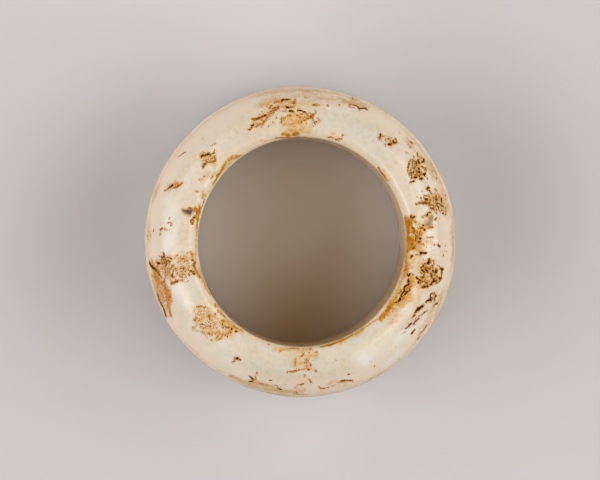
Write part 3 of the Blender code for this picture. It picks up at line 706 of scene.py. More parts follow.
# Brown skin of the pebble, left in shallow hollows
SKIN = (
    (2.2, 0.6, (158, 290, 162, 302, 168, 315)),
    (2.5, 0.35, (338, 138)),
    (2.5, 0.4, (356, 105)),
    (2.5, 0.45, (434, 158, 441, 172, 447, 188)),
    (2.5, 0.5, (296, 394, 308, 395)),
    (3.0, 0.25, (397, 160, 388, 166)),
    (3.0, 0.4, (411, 143), (203, 138)),
    (3.0, 0.6, (194, 328), (188.6, 214.4), (176, 185.6)),
    (3.0, 0.8, (169, 300, 170.5, 311)),
    (3.4, 0.8, (184, 210.4, 189, 211.4)),
    (3.4, 1.0, (153, 270, 158, 279, 162, 287)),
    (3.5, 0.35, (196, 158)),
    (4.0, 0.35, (382, 137, 392, 143), (423, 331)),
    (4.0, 0.4, (425, 240)),
    (4.0, 0.5, (306, 362), (262, 388, 276, 390)),
    (4.0, 0.6, (305, 116, 311, 116), (431, 218)),
    (4.0, 0.7, (293, 127, 295, 132)),
    (4.5, 0.35, (434, 196, 441, 200)),
    (4.5, 0.4, (311, 122, 316, 124)),
    (4.5, 0.7, (410, 284, 404, 292)),
    (4.5, 1.0, (163, 288, 168, 293, 169.5, 299)),
    (5.0, 0.2, (416, 318, 409, 326)),
    (5.0, 0.35, (412, 163, 412, 174)),
    (5.0, 0.4, (420, 223, 428, 226), (391, 311, 386, 316)),
    (5.0, 0.55, (428, 163, 434, 172)),
    (5.0, 0.6, (426, 201, 434, 204, 442, 208), (415, 232, 419, 241), (186, 258, 191, 262)),
    (5.0, 0.7, (222, 335, 233, 331)),
    (5.5, 0.6, (204, 157, 211, 157, 213, 162), (256, 123, 268, 114, 279, 105, 292, 103)),
    (6.0, 0.5, (298, 361, 304, 362)),
    (6.0, 0.8, (295, 124, 300, 125)),
    (6.5, 0.6, (160, 262, 168, 268, 170, 276)),
    (6.5, 0.75, (178, 272, 190, 268)),
    (7.0, 0.48, (418, 165, 419, 173)),
    (7.0, 0.6, (206, 314, 218, 320, 228, 328)),
    (7.0, 1.0, (293, 117, 301, 119)),
    (8.0, 0.3, (397, 319)),
    (10.0, 0.55, (430, 273)),
    (10.0, 0.58, (202, 316, 206, 328, 214, 334)),
)

# Where the skin is broken into small dark flecks
FLECKS = (
    (2.6, 0.5, (300, 386, 312, 380)),
    (3.0, 0.4, (421, 227, 427, 228)),
    (3.0, 0.45, (415, 230, 419, 236, 420, 242)),
    (3.0, 0.5, (251, 381)),
    (3.0, 0.6, (196, 308, 205, 307.5)),
    (3.2, 0.7, (283, 120)),
    (3.5, 0.35, (410, 144)),
    (3.5, 0.6, (312, 117, 315, 123)),
    (3.6, 0.7, (307, 362)),
    (4.0, 0.4, (436, 195), (434, 252), (437, 277, 434, 282, 428, 285)),
    (4.0, 0.45, (430, 166, 434, 172), (256, 124, 269, 115, 277, 107)),
    (4.0, 0.5, (408, 286, 402, 294)),
    (4.5, 0.5, (383, 138, 392, 143)),
    (5.0, 0.4, (184, 258, 189, 262)),
    (5.0, 0.45, (424, 265, 421, 273, 424, 281)),
    (5.0, 0.5, (206, 158, 213, 157)),
    (5.5, 0.5, (426, 200, 434, 202, 442, 206)),
    (6.0, 0.3, (418, 318, 408, 328)),
    (6.5, 0.6, (164, 262, 167, 271)),
    (7.0, 0.5, (216, 322, 226, 334)),
    (7.0, 0.65, (177, 273, 188, 272)),
    (7.5, 0.45, (415, 165, 418, 173)),
    (9.0, 0.35, (429, 273)),
    (10.0, 0.5, (203, 319, 209, 328)),
)

# Grey stain
ASH = (
    (1.3, 0.25, (233.8, 129.6)),
    (1.3, 0.35, (426.4, 283.2, 430.4, 282)),
    (1.4, 0.35, (434.6, 273.6, 435.4, 275.4)),
    (1.4, 0.4, (187.6, 216)),
    (1.6, 0.45, (427, 271, 428.4, 269.8)),
    (1.6, 0.5, (189.4, 215.4)),
    (1.6, 0.9, (190.4, 212.6)),
    (1.6, 1.0, (189.4, 208.6, 191.4, 208.8)),
    (2.0, 0.85, (183, 210.6, 186.4, 211)),
    (2.2, 1.0, (188.6, 210.6, 191.4, 210.8)),
    (2.4, 0.65, (427.4, 223.8, 430, 225.4)),
    (2.5, 0.95, (187, 212, 190.4, 213)),
    (5.0, 0.14, (426, 270, 431, 276)),
)

# Olive stain
OLIVE = (
    (1.4, 0.7, (433.4, 292, 434.4, 296)),
    (1.6, 0.4, (182.6, 210.4, 185.4, 210.6)),
    (1.8, 0.6, (422.6, 199, 423.4, 201)),
    (2.0, 0.6, (413.6, 166, 414.4, 172)),
    (2.4, 0.8, (433.4, 275.4, 437, 279)),
    (3.2, 1.0, (431, 216.8, 430.8, 223)),
)

# Orange-brown smears of the pebble's skin
SMEARS = (
    (1.3, 0.6, (451, 226, 453.6, 238, 454, 250, 453, 266)),
    (1.4, 0.5, (150, 230, 148.6, 240)),
    (1.5, 0.7, (158, 292, 162, 303, 167, 315)),
    (1.6, 0.7, (151, 266, 155, 272, 160, 279)),
    (2.0, 0.3, (262, 389, 272, 391, 281, 392)),
    (2.0, 0.7, (173, 186.5, 176, 184.5, 179, 183.5)),
    (2.2, 0.7, (412, 280, 409, 287, 405, 293)),
    (2.4, 0.5, (204, 164, 210, 161, 214, 157)),
    (2.4, 0.6, (416, 231, 418, 238, 421, 243)),
    (2.4, 0.9, (170, 308, 171, 316)),
    (2.6, 0.7, (413.6, 241, 414.4, 247)),
    (2.6, 0.8, (442, 209, 445.4, 212)),
    (3.0, 0.2, (260, 121, 268, 114.6)),
    (3.0, 0.35, (441, 190, 446, 198, 448, 206)),
    (3.0, 0.95, (413, 230, 417, 234, 417.6, 240, 419, 243)),
    (3.4, 0.55, (408, 262, 409.6, 270, 411, 278)),
    (3.4, 1.0, (153, 266, 156, 275, 159, 283)),
    (3.6, 0.5, (430, 208, 438, 211, 447, 211)),
    (3.6, 0.9, (156, 268, 160, 276, 163, 284)),
    (4.0, 0.4, (293, 123, 294, 129)),
    (4.0, 0.45, (416, 164, 419, 173)),
    (4.0, 0.5, (292.6, 116, 294, 126)),
    (4.0, 0.8, (162, 266, 165, 276, 165, 284)),
    (4.0, 1.0, (157, 282, 160, 290, 164, 300)),
    (4.2, 0.8, (428, 266, 423, 274, 427, 283)),
    (4.2, 1.0, (167, 298, 168, 305, 169, 309)),
    (5.0, 0.35, (292, 116, 300, 118)),
    (5.0, 0.45, (276, 108, 288, 108)),
    (5.0, 1.0, (164, 284, 167, 291, 168, 298)),
    (7.0, 0.45, (429, 272)),
)

# Broad ochre stain that has soaked into the stone
STAINS = (
    (1.6, 0.35, (186, 224, 185.6, 246)),
    (2.4, 0.6, (310, 347, 328, 344, 345, 338), (262, 142, 273, 139, 285, 137)),
    (2.6, 0.7, (199, 207, 196.6, 224, 196.4, 244, 197.9, 262), (222, 170, 232, 161)),
    (3.0, 0.9, (216, 304, 225, 316, 236, 327)),
    (3.6, 1.0, (200.8, 271, 203.4, 279, 206, 286, 210, 294)),
    (4.0, 0.6, (382, 170, 388, 180), (318, 347, 334, 343, 340, 340)),
    (4.0, 0.7, (234, 328, 241, 332)),
    (4.0, 0.75, (196, 254, 197, 264, 200, 274)),
    (4.0, 0.8, (410, 218, 409, 232), (276, 349, 292, 350, 310, 350)),
    (4.0, 0.9, (317, 91), (405.4, 252, 406, 262, 404.6, 272, 399, 286)),
    (4.5, 0.7, (169, 310, 171, 316)),
    (5.0, 0.45, (320, 390, 346, 385), (203, 178, 210, 172)),
    (5.0, 0.5, (198, 324, 208, 328)),
    (5.0, 0.55, (437, 292, 434, 308)),
    (5.0, 0.6, (424, 238, 428, 244), (403.4, 269, 399.2, 281.4, 392.8, 294.7, 386.6, 304),
     (331, 383, 345, 383), (294, 365, 312, 368), (214, 335, 232, 334), (168, 187, 175, 186),
     (231, 160, 224, 168), (284, 133, 296, 131, 310, 128), (288, 104, 298, 108)),
    (5.0, 0.65, (430, 322, 418, 336)),
    (5.0, 0.75, (303, 357, 316, 355), (174, 258, 186, 259)),
    (5.0, 0.8, (430, 218, 424, 228)),
    (5.0, 0.85, (340, 341, 350, 337, 360, 331)),
    (5.0, 0.9, (399, 289, 395, 297, 390, 303), (254, 390.4, 268, 395, 276, 396.4), (252, 382, 270, 386)),
    (5.0, 1.0, (300, 90.5, 310, 90.5)),
    (6.0, 0.25, (198, 162)),
    (6.0, 0.35, (150, 240, 148, 258)),
    (6.0, 0.5, (286, 354, 306, 358)),
    (6.0, 0.6, (436, 296, 432, 312, 424, 326), (396, 314, 392, 322)),
    (6.0, 0.65, (407, 139, 413, 148)),
    (6.0, 0.7, (410, 254, 409, 268)),
    (6.0, 0.75, (286, 124, 293, 118, 298, 124)),
    (6.0, 0.8, (151, 262, 158, 268)),
    (6.0, 0.85, (432, 197, 440, 196, 448, 206, 446, 213)),
    (6.0, 0.9, (421, 252, 415, 244), (411, 280, 419, 286)),
    (6.0, 0.95, (417, 236, 424, 228)),
    (6.0, 1.0, (410, 296, 402, 303), (398, 304, 394, 300), (153, 276, 157, 292, 163, 304)),
    (7.0, 0.3, (430, 170, 436, 184, 440, 196)),
    (7.0, 0.4, (302, 100, 314, 98)),
    (7.0, 0.5, (412, 146, 424, 156, 433, 170)),
    (7.0, 0.6, (420, 157, 429, 168, 434, 178), (420, 290, 412, 302)),
    (7.0, 0.65, (440, 188, 446, 200, 448, 212)),
    (7.0, 0.7, (441, 296, 437, 314, 430, 330), (292, 391, 302, 391), (158, 188, 154, 196)),
    (7.0, 0.8, (436, 276, 428, 284)),
    (7.0, 0.9, (264, 104, 274, 100, 288, 101)),
    (7.0, 0.95, (346, 101, 362, 106)),
    (8.0, 0.55, (148, 228, 149, 240)),
    (8.0, 0.6, (302, 104, 320, 106), (409, 133.6, 433, 165.5, 448.6, 202, 453.6, 225)),
    (8.0, 0.7, (420, 264, 422, 278)),
    (8.0, 0.8, (452.6, 230, 453.4, 244, 452.8, 262)),
    (9.0, 0.4, (398, 306, 392, 318)),
    (9.0, 0.5, (304, 93, 320, 94)),
    (9.0, 0.55, (266, 99, 300, 96, 345, 100)),
    (9.0, 0.6, (250, 388, 268, 392, 288, 395), (262, 94, 276, 91.5, 300, 90, 322, 91, 340, 94)),
    (9.0, 0.7, (352, 101, 364, 105)),
    (9.0, 0.8, (236, 379, 250, 385, 266, 389, 286, 392)),
    (12.0, 0.8, (246, 387.4, 263, 393, 282, 396.4)),
)

# Painted highlights: pale glints along the bore's lip and on the edges of scars and chips
PAINTED_GLINTS = (
    (0.5, 0.6, (290.6, 117, 290.4, 127)),
    (0.5, 0.65, (189.4, 218, 189.2, 230, 189, 244, 189.6, 262)),
    (0.5, 0.7, (416, 158, 417.6, 166), (172.4, 285.6, 180, 283.6, 188, 281)),
    (0.5, 0.8, (434.4, 266, 438, 270, 438.6, 275), (415.2, 280, 418.6, 282, 422, 284.4)),
    (0.5, 0.85, (409.4, 234.8, 411.4, 234, 413.6, 234.4, 415.4, 236.4, 416, 239.6)),
    (0.5, 0.9, (413, 220, 413.6, 225, 416.6, 228.5, 420.6, 230.6)),
    (0.6, 0.7, (386, 166.6, 394, 178, 402, 191, 408, 203, 411.6, 213),
     (409.4, 288.6, 407, 291.2, 403, 296)),
    (0.6, 0.8, (192.8, 211, 192.2, 214, 191.4, 217)),
    (0.6, 0.9, (426.6, 274.4, 430.2, 275.4, 430.6, 278.6, 427.2, 279.6)),
)

# Cooler clouds in the stone, darker where they also paint shade at the top and bottom of the domed end
COOL_CLOUDS_AND_SHADE = (
    (7.0, 0.5, (444, 232, 446, 262)),
    (8.0, 0.25, (432, 320, 440, 296)),
    (8.0, 0.5, (240, 352, 222, 346)),
    (8.0, 0.6, (190, 284, 198, 298), (172, 212, 171, 244)),
    (8.0, 0.7, (238, 338, 256, 348, 271, 352)),
    (8.0, 0.8, (357, 340, 372, 331, 385, 317)),
    (10.0, 0.6, (228, 146, 246, 136)),
    (14.0, 0.8, (250, 362, 280, 368, 322, 366, 352, 356)),
    (14.0, 0.9, (318, 116, 345, 122, 372, 140, 384, 152)),
)

# Milky clouds in the stone, and painted highlights: paler bands on the shoulder at its left and right
MILK_CLOUDS_AND_HIGHLIGHTS = (
    (7.0, 0.4, (429, 194, 433, 222), (424, 294, 422, 304, 418, 314)),
    (8.0, 0.3, (190, 316, 204, 334, 222, 350)),
    (8.0, 0.4, (418, 158, 426, 176)),
    (8.0, 0.5, (432, 234, 434, 250)),
    (8.0, 0.55, (170, 196, 166, 222, 166, 246)),
    (8.0, 0.6, (172, 284, 182, 302)),
    (9.0, 0.7, (388, 364, 398, 354)),
    (12.0, 0.45, (232, 362, 205, 345, 188, 326)),
    (12.0, 0.8, (364, 358, 378, 352, 394, 344, 408, 334)),
)

# The same kinds of mark on the outer side, where half widths are in millimetres and a stroke's places
# are an angle and a share of the height in turn
SIDE_SKIN = (
    (1.1, 0.9, (260, 0.55, 267, 0.6, 275, 0.62), (5, 0.43, -2, 0.52, -9, 0.61)),
    (0.6, 0.7, (245, 0.23, 249, 0.3), (117, 0.22, 121, 0.3)),
    (0.8, 0.7, (21, 0.2, 30, 0.26)),
    (1.2, 0.9, (83, 0.41, 90, 0.5, 98, 0.55)),
    (1.0, 0.9, (176, 0.33, 181, 0.46, 187, 0.59)),
    (0.6, 0.6, (206, 0.19, 212, 0.24)),
    (0.5, 0.6, (318, 0.38, 322, 0.46)),
    (0.45, 0.6, (148, 0.62, 152, 0.66)),
)
SIDE_FLECKS = (
    (1.0, 0.9, (261, 0.56, 273, 0.61), (4, 0.44, -8, 0.6)),
    (0.6, 0.7, (246, 0.24, 249, 0.3), (118, 0.22, 121, 0.29)),
    (0.8, 0.7, (22, 0.2, 29, 0.26)),
    (1.1, 0.9, (85, 0.43, 96, 0.54)),
    (0.9, 0.9, (177, 0.35, 186, 0.57)),
    (0.6, 0.6, (207, 0.2, 211, 0.24)),
    (0.4, 0.6, (319, 0.39, 321, 0.45)),
)
SIDE_PITS = (
    (0.11, 1.0, (263, 0.585, 267, 0.6, 270, 0.585), (2, 0.46, 0, 0.5, -3, 0.515), (119, 0.24, 120, 0.27),
     (178, 0.37, 180, 0.42, 179.5, 0.46)),
    (0.1, 0.9, (258, 0.52, 260.5, 0.545), (-6, 0.57, -8.5, 0.6), (25, 0.22, 28, 0.25),
     (94, 0.53, 97, 0.55), (184, 0.55, 186, 0.575), (208.5, 0.205, 210.5, 0.225)),
    (0.12, 1.0, (247, 0.25, 248, 0.28), (86, 0.44, 88.5, 0.47, 92, 0.48)),
    (0.09, 0.8, (60, 0.66, 62, 0.68), (333, 0.3, 334.5, 0.32), (290, 0.34, 293, 0.35)),
)
SIDE_RUST = (
    (0.09, 0.9, (275, 0.6, 280, 0.64, 284, 0.65), (350, 0.64, 346, 0.7, 342, 0.72),
     (98, 0.56, 104, 0.6, 108, 0.6), (187, 0.6, 190, 0.67, 196, 0.71)),
    (0.08, 0.8, (255, 0.46, 258, 0.52), (30, 0.27, 35, 0.3), (80, 0.34, 83, 0.4)),
    (0.08, 0.7, (121, 0.31, 125, 0.36), (318, 0.38, 316, 0.33)),
)


def arc(centre, width, height, start, end, steps):
    """Points of an ellipse's arc in the section, from start to end degrees, both ends included."""
    turn = np.radians(np.linspace(start, end, steps + 1))
    return np.stack((centre[0] + width * np.cos(turn), centre[1] + height * np.sin(turn)), axis=1)


def run(first, last, steps):
    """Evenly spaced points between two points of the section, both left out."""
    share = np.linspace(0, 1, steps + 1)[1:-1, None]
    return np.array(first) * (1 - share) + np.array(last) * share


def side_radius(height):
    """Radius of the outer side at a height."""
    drop = np.clip((SIDE_TOP - height) / SIDE_TOP, 0, 1)
    return OUTER_RADIUS - SIDE_TAPER * drop * drop


def end_height(radius):
    """Height of the domed end at a distance from the axis."""
    inward = np.clip((CREST_START - radius) / LIP_WIDTH, 0, 1)
    outward = np.clip((radius - CREST_END) / SHOULDER_WIDTH, 0, 1)
    lip = LIP_DEPTH * (1 - np.sqrt(1 - inward * inward))
    shoulder = SHOULDER_DEPTH * (1 - np.sqrt(1 - outward * outward))
    return HEIGHT - lip - shoulder


def end_section():
    """The domed end with a little of the bore and of the side, as (distance from the axis, height)."""
    lip_bottom = HEIGHT - LIP_DEPTH
    bore = run((BORE_RADIUS, lip_bottom - END_BORE), (BORE_RADIUS, lip_bottom), END_BORE_STEPS)
    lip = arc((CREST_START, lip_bottom), LIP_WIDTH, LIP_DEPTH, 180, 90, LIP_STEPS)
    crest = run((CREST_START, HEIGHT), (CREST_END, HEIGHT), CREST_STEPS)
    shoulder = arc((CREST_END, SIDE_TOP), SHOULDER_WIDTH, SHOULDER_DEPTH, 90, 0, SHOULDER_STEPS)
    side = run((OUTER_RADIUS, SIDE_TOP), (OUTER_RADIUS, SIDE_TOP - END_SIDE), END_SIDE_STEPS)
    return np.concatenate((bore, lip, crest, shoulder, side))


def body_section(first, last):
    """The rest of the section, from below the shoulder down, across the base and up the bore."""
    side = run(first, (BASE_RADIUS, BASE_EDGE_RADIUS), SIDE_STEPS)
    side[:, 0] = side_radius(side[:, 1])
    edge = arc(BASE_EDGE_CENTRE, BASE_EDGE_RADIUS, BASE_EDGE_RADIUS, 0, -90, BASE_EDGE_STEPS)
    lip = arc(BASE_LIP_CENTRE, BASE_LIP_RADIUS, BASE_LIP_RADIUS, -90, -180, BASE_LIP_STEPS)
    base = run(edge[-1], lip[0], BASE_STEPS)
    bore = run(lip[-1], last, BORE_STEPS)
    return np.concatenate((side, edge, base, lip, bore))


def section_normals(section):
    """Outward normals of a closed section."""
    along = np.roll(section, -1, axis=0) - np.roll(section, 1, axis=0)
    along /= np.linalg.norm(along, axis=1)[:, None]
    return np.stack((-along[:, 1], along[:, 0]), axis=1)


def spun(section, columns):
    """Each point of the section turned about the axis, row by row."""
    turn = np.arange(columns) * (2 * math.pi / columns)
    radius = section[:, 0][:, None]
    height = np.broadcast_to(section[:, 1][:, None], (len(section), columns))
    rows = np.stack((radius * np.cos(turn), radius * np.sin(turn), height), axis=2)
    return rows.reshape(-1, 3)


def grid_faces(start, rows, columns):
    """Quads between the rows of one spun stretch."""
    row = np.arange(rows - 1)[:, None] * columns + start
    here = row + np.arange(columns)[None, :]
    beside = row + (np.arange(columns)[None, :] + 1) % columns
    quads = np.stack((here, here + columns, beside + columns, beside), axis=2)
    return quads.reshape(-1, 4).tolist()


def joining_faces(fine, coarse, fine_first):
    """Triangles between a row of the end's columns and a row of the body's, half as many."""
    faces = []
    for column in range(BODY_COLUMNS):
        a = fine + 2 * column
        b = a + 1
        c = fine + (2 * column + 2) % END_COLUMNS
        d = coarse + column
        e = coarse + (column + 1) % BODY_COLUMNS
        if fine_first:
            faces += [(a, d, b), (d, e, b), (e, c, b)]
        else:
            faces += [(d, a, b), (d, b, e), (b, c, e)]
    return faces


def turned_ring():
    """Points, outward normals and faces of the true turned form."""
    end = end_section()
    body = body_section(end[-1], end[0])
    normals = section_normals(np.concatenate((end, body)))
    points = np.concatenate((spun(end, END_COLUMNS), spun(body, BODY_COLUMNS)))
    outward = np.concatenate(
        (spun(normals[: len(end)], END_COLUMNS), spun(normals[len(end) :], BODY_COLUMNS))
    )
    body_start = len(end) * END_COLUMNS
    faces = grid_faces(0, len(end), END_COLUMNS)
    faces += grid_faces(body_start, len(body), BODY_COLUMNS)
    faces += joining_faces(body_start - END_COLUMNS, body_start, True)
    faces += joining_faces(0, body_start + (len(body) - 1) * BODY_COLUMNS, False)
    return points, outward, faces


def lattice_noise(points, size, seed):
    """Smooth noise from 0 to 1 at each point, with lumps of about this size, the same every run."""
    table = np.random.default_rng(seed).random((LATTICE, LATTICE, LATTICE))
    place = points / size
    cell = np.floor(place).astype(int)
    share = place - cell
    share = share * share * (3 - 2 * share)
    value = np.zeros(len(points))
    for corner in np.ndindex(2, 2, 2):
        index = (cell + corner) % LATTICE
        weight = np.prod(np.where(corner, share, 1 - share), axis=1)
        value += weight * table[index[:, 0], index[:, 1], index[:, 2]]
    return value


def shaken(points, size, reach, seed):
    """The points moved about by noise, so that what is drawn on them has uneven edges."""
    moves = [lattice_noise(points, size, seed + axis) for axis in range(3)]
    return points + (np.stack(moves, axis=1) - 0.5) * 2 * reach


def radii(points):
    """Each point's distance from the axis."""
    return np.hypot(points[:, 0], points[:, 1])


def angle_from(points, centre):
    """Each point's angle about the axis, in degrees from this one, between -180 and 180."""
    angle = np.degrees(np.arctan2(points[:, 1], points[:, 0]))
    return (angle - centre + 180) % 360 - 180


def polar_end(angle, across):
    """A point of the domed end, from 0 at the bore to 1 at the outer side."""
    radius = BORE_RADIUS + WALL * across
    turn = math.radians(angle)
    return np.array((radius * math.cos(turn), radius * math.sin(turn), end_height(radius)))


def on_side(places, share=0.0):
    """Points of the outer side at (angle, share of the height), the same for marks of any strength."""
    places = np.asarray(places, float)
    turn = np.radians(places[:, 0])
    height = places[:, 1] * HEIGHT
    radius = side_radius(height)
    return np.stack((radius * np.cos(turn), radius * np.sin(turn), height), axis=1)


def away_from(points, route):
    """Distance from each point to a route."""
    nearest = np.full(len(points), np.inf)
    for first, second in zip(route[:-1], route[1:]):
        step = second - first
        along = np.clip((points - first) @ step / max(step @ step, NEARLY_NOTHING), 0, 1)
        nearest = np.minimum(nearest, np.linalg.norm(points - first - along[:, None] * step, axis=1))
    return nearest


def hollow(points, first, second, radius, depth):
    """How deep each point lies in a hollow that runs from first to second."""
    away = away_from(points, np.array((first, second)))
    return depth * np.clip(1 - (away / radius) ** 2, 0, 1) ** 2


def hollow_depths(points):
    """The depth of the deepest hollow or chip at each point."""
    depth = np.zeros(len(points))
    for angle, share, end_angle, end_share, size, deep in END_HOLLOWS:
        ends = (polar_end(angle, share), polar_end(end_angle, end_share))
        depth = np.maximum(depth, hollow(points, *ends, size * HOLLOW_RADIUS, deep * HOLLOW_DEPTH))
    for angle, share, end_angle, end_share, size, deep in SIDE_HOLLOWS:
        ends = on_side(((angle, share), (end_angle, end_share)))
        depth = np.maximum(depth, hollow(points, *ends, size * HOLLOW_RADIUS, deep * HOLLOW_DEPTH))
    for angle, deep in LIP_CHIPS:
        chip = polar_end(angle, LIP_WIDTH / WALL / 2)
        depth = np.maximum(depth, hollow(points, chip, chip, CHIP_RADIUS, deep * CHIP_DEPTH))
    return depth


def outline_wear(points):
    """How far the outer side is worn in towards the axis at each point."""
    worn = np.zeros(len(points))
    for centre, spread, share in WORN_FLATS:
        worn += share * WEAR_DEPTH * np.exp(-((angle_from(points, centre) / spread) ** 2))
    return worn * np.clip((radii(points) - CREST_END) / SHOULDER_WIDTH, 0, 1)


def lip_lean(points):
    """How far the edge of the bore stands in towards the axis at each point, on its left side."""
    side = np.clip(np.cos(np.radians(angle_from(points, LEAN_ANGLE))), 0, 1) ** LEAN_POWER
    lip = np.clip(1 - (radii(points) - BORE_RADIUS) / LEAN_WIDTH, 0, 1)
    return LEAN * side * lip * np.clip((points[:, 2] - SIDE_TOP) / LEAN_HEIGHT, 0, 1)


def unworn(place, sink):
    """The points of the turned form that the wear, and a mark's own sinking, bring to this place."""
    radius = radii(place)
    found = radius
    for _ in range(WEAR_ROUNDS):
        kept = np.clip(found, BORE_RADIUS + NEARLY_FLAT, OUTER_RADIUS - NEARLY_FLAT)
        spots = np.column_stack((place[:, :2] * (kept / radius)[:, None], end_height(kept)))
        slope = (end_height(kept - NEARLY_FLAT) - end_height(kept + NEARLY_FLAT)) / (2 * NEARLY_FLAT)
        depth = hollow_depths(spots) + WAVE_DEPTH / 2 + sink
        found = radius + outline_wear(spots) + lip_lean(spots) + depth * slope / np.hypot(1, slope)
    found = np.clip(found, BORE_RADIUS, OUTER_RADIUS)
    return np.column_stack((place[:, :2] * (found / radius)[:, None], end_height(found)))


def on_end(pixels, sink=0.0):
    """The points of the domed end that the photograph shows at these pixels."""
    pixels = np.asarray(pixels, float)
    flat = np.stack(((pixels[:, 0] - AXIS_X) * PIXEL, (AXIS_Y - pixels[:, 1]) * PIXEL), axis=1)
    lens = np.array(CAMERA_PLACE.xy)
    height = np.full(len(flat), HEIGHT)
    for _ in range(SIGHT_ROUNDS):
        share = (CAMERA_PLACE.z - height) / (CAMERA_PLACE.z - SIDE_TOP)
        place = lens + (flat - lens) * share[:, None]
        radius = radii(place)
        kept = np.clip(radius, BORE_RADIUS, OUTER_RADIUS)
        place *= (kept / radius)[:, None]
        height = end_height(kept)
    return unworn(place, sink)


def close_points(places):
    """A stroke's places with more put in between, a few pixels or degrees apart."""
    if len(places) == 1:
        return np.repeat(places, 2, axis=0)
    lengths = np.linalg.norm(np.diff(places, axis=0), axis=1)
    along = np.concatenate(([0.0], np.cumsum(lengths)))
    count = max(2, math.ceil(along[-1] / STROKE_STEP) + 1)
    spots = np.linspace(0, along[-1], count)
    return np.stack([np.interp(spots, along, places[:, axis]) for axis in range(2)], axis=1)


def marked(points, pens, place, unit, profile):
    """The strongest mark at each point: profile gives a mark's strength at so many half widths."""
    strength = np.zeros(len(points))
    for half_width, share, *strokes in pens:
        width = half_width * unit
        for stroke in strokes:
            route = place(close_points(np.reshape(stroke, (-1, 2))), share)
            low = route.min(axis=0) - width * MARK_REACH
            high = route.max(axis=0) + width * MARK_REACH
            near = np.flatnonzero(np.all((points > low) & (points < high), axis=1))
            found = share * profile(away_from(points[near], route) / width)
            strength[near] = np.maximum(strength[near], found)
    return strength


def line_profile(away):
    """1 along the middle, half at the mark's edge, nothing at twice as far."""
    return np.clip(1 - away / 2, 0, 1)


def halo_profile(away):
    """A wide mark, fading evenly away."""
    return np.clip(1 - away / HALO_REACH, 0, 1)


def patch_profile(away):
    """The whole strength over most of the mark, fading at its edge."""
    share = np.clip((PATCH_REACH - away) / PATCH_FADE, 0, 1)
    return share * share * (3 - 2 * share)


def soft_profile(away):
    """A soft-edged mark."""
    return np.exp(-away * away)


def side_marks(points, pens, profile):
    """Marks of the outer side, whose half widths are in millimetres."""
    return marked(points, pens, on_side, MM, profile)


def end_marks(points, pens, profile, depth=0.0):
    """Marks of the domed end, whose half widths are in pixels, sunk this deep at their full strength."""
    sunk = depth * MARK_SINK
    return marked(points, pens, lambda pixels, share: on_end(pixels, share * sunk), PIXEL, profile)


def both_marks(points, end_pens, side_pens, profile, depth=0.0):
    """One kind of mark, of the end and of the side together."""
    return np.maximum(
        end_marks(points, end_pens, profile, depth), side_marks(points, side_pens, profile)
    )


def grained(points):
    """The points drawn together along the grain of the stone, so that noise on them runs along it."""
    turn = math.radians(GRAIN_ANGLE)
    along = points @ np.array((math.cos(turn), math.sin(turn), 0))
    across = points @ np.array((-math.sin(turn), math.cos(turn), 0))
    return np.stack((along / GRAIN_STRETCH, across, points[:, 2]), axis=1)


def fleck_field(points, envelope):
    """Small flecks along the grain, closer together and larger where the envelope is stronger."""
    place = grained(points)
    value = 0.5 * lattice_noise(place, *FLECK_NOISE) + 0.5 * lattice_noise(place, *FINE_FLECK_NOISE)
    level = FLECK_LEVEL - FLECK_CROWDING * envelope
    return np.clip((value - level) / FLECK_EDGE, 0, 1) * (envelope > FLECK_LIMIT)


def below_shoulder(points, fade):
    """1 on the domed end, fading away over this height below it."""
    return np.clip(1 - (SIDE_TOP - points[:, 2]) / fade, 0, 1)


def painted_shoulder_glow_field(points):
    """Painted light: 1 where the shoulder curves away to the outer side, painted paler as the glow of light
    through the stone there.
    """
    turned = np.clip((radii(points) - OUTER_RADIUS + SHOULDER_START) / SHOULDER_BLEND, 0, 1)
    return turned * below_shoulder(points, SHOULDER_FADE)


def painted_outline_glow_field(points):
    """Painted light: the warm glow along the outline, painted tan."""
    outline = np.clip((radii(points) - OUTER_RADIUS + RIM_WIDTH) / RIM_WIDTH, 0, 1) ** RIM_POWER
    return outline * below_shoulder(points, RIM_FADE)


def painted_lip_glow_field(points):
    """Painted light: 1 at the edge of the bore, where the thin stone is painted pale as the glow of light
    through it.
    """
    return np.clip(1 - (radii(points) - BORE_RADIUS) / THIN_WIDTH, 0, 1) * (points[:, 2] > SIDE_TOP)


def bore_field(points):
    """1 on the wall of the bore, falling away at its lip."""
    inside = np.clip(1 - (radii(points) - BORE_RADIUS) / BORE_WIDTH, 0, 1)
    return inside * np.clip((HEIGHT - LIP_DEPTH + BORE_START - points[:, 2]) / BORE_BLEND, 0, 1)


def painted_bore_shade_field(points):
    """Painted shade: the brown on the wall of the bore at its right, where shadow falls."""
    away = angle_from(points, BORE_SHADE_ANGLE)
    return bore_field(points) * np.exp(-((away / BORE_SHADE_SPREAD) ** 2))


